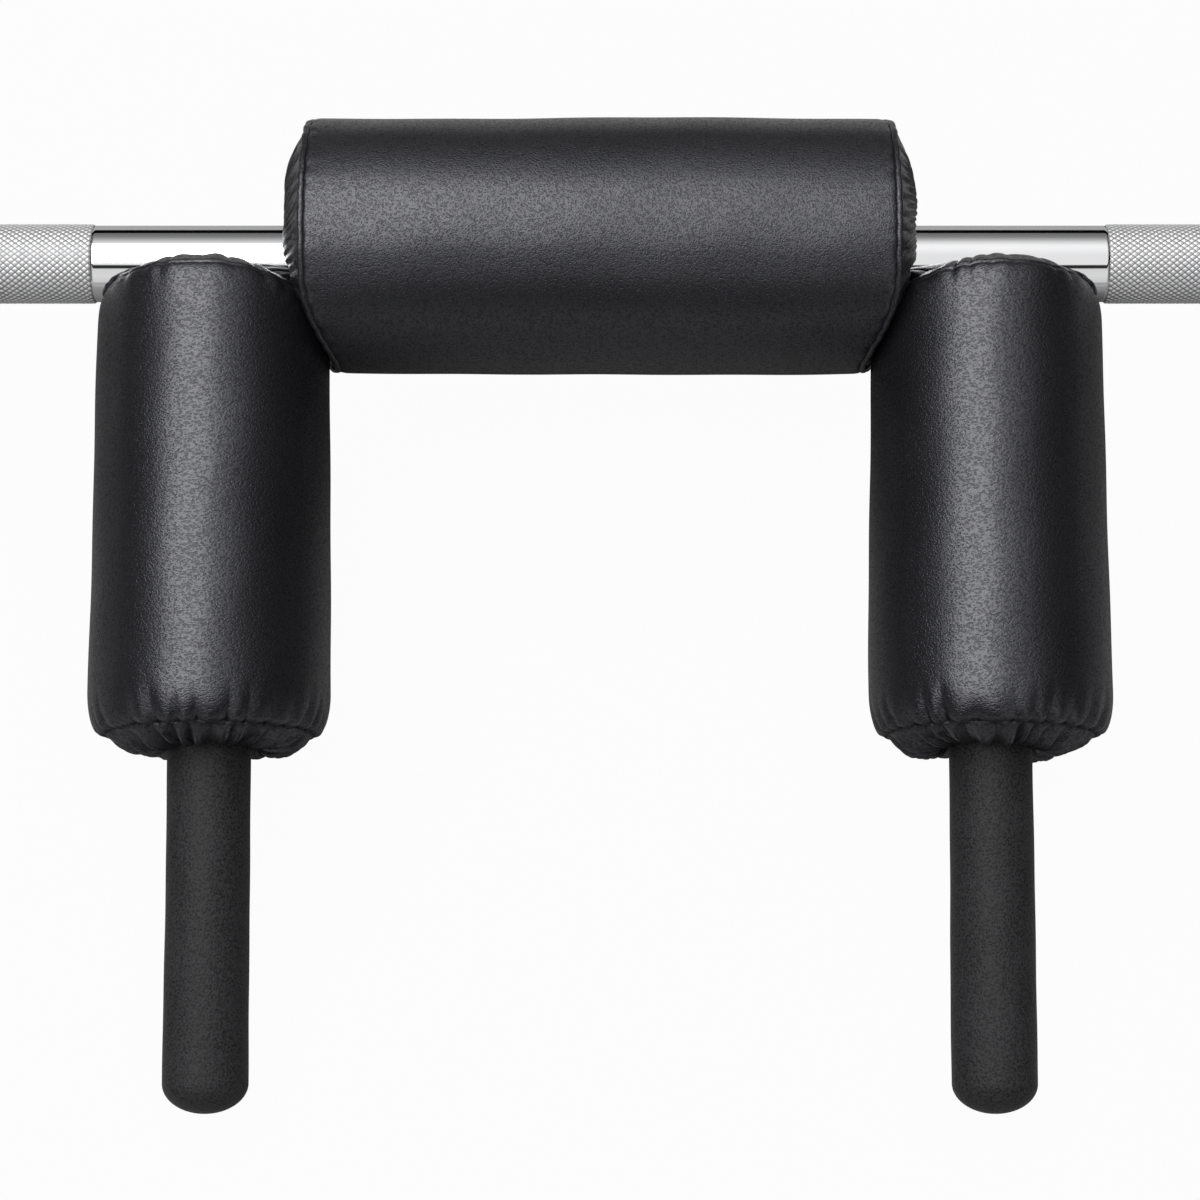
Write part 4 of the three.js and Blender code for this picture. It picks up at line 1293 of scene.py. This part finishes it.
def rounded(profile, radius):
    """A profile with each inner corner swapped for a small arc: points on the curve of two straight
    blends."""
    points = np.array(profile, float)
    out = [points[0]]
    for before, corner, after in zip(points[:-2], points[1:-1], points[2:]):
        first, second = before - corner, after - corner
        reach = min(radius, 0.45 * np.hypot(*first), 0.45 * np.hypot(*second))
        a = corner + first / np.hypot(*first) * reach
        b = corner + second / np.hypot(*second) * reach
        t = np.linspace(0, 1, 5)[:, None]
        arc = (1 - t) ** 2 * a + 2 * t * (1 - t) * corner + t**2 * b
        out += [a + (a - corner) * 0.12, *arc, b + (b - corner) * 0.12]
    out.append(points[-1])
    return np.array(out)


def closed_profile(points, round_by):
    """A ring's outline, rounded, with its first edge cut in the middle so that the corners there are
    rounded too."""
    first, second = np.array(points[0], float), np.array(points[-1], float)
    start = (first + second) / 2
    return rounded([start, *points, start], round_by)[:-1]


def tube_profile(inner, outer, start, length, round_by=0.5):
    """The outline of a plain tube or washer: an oblong between two radii."""
    ring = [(start, inner), (start, outer), (start + length, outer), (start + length, inner)]
    return closed_profile(ring, round_by)


def turned(profile, sign):
    """A profile of (way out from a sleeve's inner face, radius), carried once round the sleeve's axis."""
    along, radius = profile[:, :1], profile[:, 1:]
    angle = turn_angles(TURNED_COLUMNS)[None, :]
    return from_axis(sign * (sleeve_x + along), radius * np.sin(angle), radius * np.cos(angle) - CAMBER)


print("turning helpers ready")

# %% Turn the sleeves' pieces
SLEEVE_R, BORE_R, SEAT_R = 25.0, 17.0, 21.0
CAP_RECESS, CAP_RING, RING_GROOVE = 1.5, 1.3, 1.2
RING_TOP = SLEEVE - CAP_RECESS
CAP_TOP = RING_TOP - CAP_RING - 2 * SEAT_GAP
CAP, CAP_DISH, CAP_RIM_R, NEAR_AXIS = 4, 0.8, SEAT_R - 3, 0.02
COLLAR, COLLAR_R, CHAMFER = 22, 38, 2
BUSHING, BUSHING_INNER, BUSHING_OUTER = 45, 14.3, 16.7

SLEEVE_OUTLINE = [
    (0, BORE_R), (0, SLEEVE_R), (SLEEVE - CHAMFER, SLEEVE_R), (SLEEVE, SLEEVE_R - CHAMFER), (SLEEVE, SEAT_R),
    (RING_TOP, SEAT_R), (RING_TOP, SEAT_R + RING_GROOVE), (CAP_TOP, SEAT_R + RING_GROOVE), (CAP_TOP, SEAT_R),
    (SEAT_FLOOR, SEAT_R), (SEAT_FLOOR, BORE_R),
]
COLLAR_OUTLINE = [
    (0, SLEEVE_R + SEAT_GAP), (0, COLLAR_R - CHAMFER), (CHAMFER, COLLAR_R), (COLLAR - CHAMFER, COLLAR_R),
    (COLLAR, COLLAR_R - CHAMFER), (COLLAR, SLEEVE_R + SEAT_GAP),
]
CAP_OUTLINE = [
    (CAP_TOP - CAP, NEAR_AXIS), (CAP_TOP - CAP, SEAT_R - SEAT_GAP), (CAP_TOP, SEAT_R - SEAT_GAP),
    (CAP_TOP, CAP_RIM_R), (CAP_TOP - CAP_DISH, CAP_RIM_R - CAP_DISH), (CAP_TOP - CAP_DISH, NEAR_AXIS),
]
inner_bushing = tube_profile(BUSHING_INNER, BUSHING_OUTER, 0, BUSHING)
outer_bushing = tube_profile(BUSHING_INNER, BUSHING_OUTER, SEAT_FLOOR - BUSHING, BUSHING)
thrust_washer = tube_profile(BUSHING_INNER, 22, -THRUST_WASHER - SEAT_GAP, THRUST_WASHER)
retainer_washer = tube_profile(BUSHING_INNER, 20.7, SEAT_FLOOR + SEAT_GAP, RETAINER, 0.3)
turned_pieces = {
    "sleeve": (closed_profile(SLEEVE_OUTLINE, 0.5), sleeve_chrome, "chrome", True),
    "collar": (closed_profile(COLLAR_OUTLINE, 0.5), sleeve_chrome, "chrome", True),
    "inner_bushing": (inner_bushing, bronze, "bronze", True),
    "outer_bushing": (outer_bushing, bronze, "bronze", True),
    "thrust_washer": (thrust_washer, bronze, "bronze", False),
    "retainer_washer": (retainer_washer, spring_steel, "steel", False),
}
for side_name, sign in SIDES.items():
    for node, (profile, material, slot, turns) in turned_pieces.items():
        body = f"{side_name}_sleeve_body" if turns else "frame"
        title, grid = f"{side_name}_turned_{node}", turned(profile, sign)
        made = piece(title, grid, material, body=body, loop=True, flip=sign > 0)
        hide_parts(f"{side_name}_{node}")
    cap = piece(
        f"{side_name}_turned_end_cap", turned(rounded(CAP_OUTLINE, 0.4), sign), sleeve_chrome,
        body=f"{side_name}_sleeve_body", start="pole", end="pole", flip=sign > 0,
    )
    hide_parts(f"{side_name}_end_cap")
print("turned pieces a side:", len(turned_pieces) + 1)

# %% [markdown]
# ## The neck cover's flap
# The arms are welded on, so the neck pad's cover can't be slid over an end. It is wrapped round and closed
# by a long hook-and-loop flap on the side that faces away. The flap is a strip laid on the pad, with
# rounded long edges that wave a little, and beside each of them a pressed line where it is sewn down.

# %% Make the flap
FLAP_ANGLE = radians(232)
FLAP_HALF, FLAP_REACH, FLAP_LIFT = 13.0, 116.0, 1.15
FLAP_HALF_THICK, PRESSED_AT = 0.75, 9.6
FLAP_ROWS, FLAP_COLUMNS = 120, 40


def flap_points():
    """A closed strip: its outline, an oblong with round corners, goes once round, and rows run along the
    pad."""
    along = np.linspace(-FLAP_REACH, FLAP_REACH, FLAP_ROWS)[:, None]
    t = turn_angles(FLAP_COLUMNS)[None, :]
    spread = FLAP_HALF * np.sign(np.cos(t)) * np.abs(np.cos(t)) ** 0.25
    pressed = 0.25 * np.exp(-(((np.abs(spread) - PRESSED_AT) / 0.8) ** 2))
    lift = FLAP_HALF_THICK * np.sin(t) * (1 - pressed)
    base = NECK_R + neck.swell * (1 - (along / 122) ** 2) ** 0.8 + FLAP_LIFT
    waves = 0.15 * np.sin(along / 11) * np.abs(spread / FLAP_HALF) ** 3
    return neck.place(along, FLAP_ANGLE + spread / base, base + lift + waves)


flap = piece("neck_flap", flap_points(), neck_vinyl, start="pole", end="pole")
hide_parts("neck_cover_flap")
print("flap ready")

# %% [markdown]
# ## What stays as modelled
# The arms, their weld fillets and plugs are inside the pads and grips, and the clips and cap rings are
# small stampings. Their plain faces are right, so they keep them and only get their finishes.

# %% Finish the nodes that stay
KEPT = {
    "arm": shaft_chrome, "arm_weld": sleeve_chrome, "arm_plug": black_plastic, "shaft_clip": spring_steel,
    "cap_ring": spring_steel,
}
for side_name in SIDES:
    for node, material in KEPT.items():
        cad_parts[f"{side_name}_{node}"].material_slots[0].material = material
shown = [name for name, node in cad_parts.items() if not node.hide_render]
print("nodes shown as modelled:", sorted(shown))

# %% [markdown]
# ## Finish
# The dressed bar should fill the measured one. Last, the scene is brought up to date.

# %% Bring the scene up to date
bpy.context.view_layer.update()
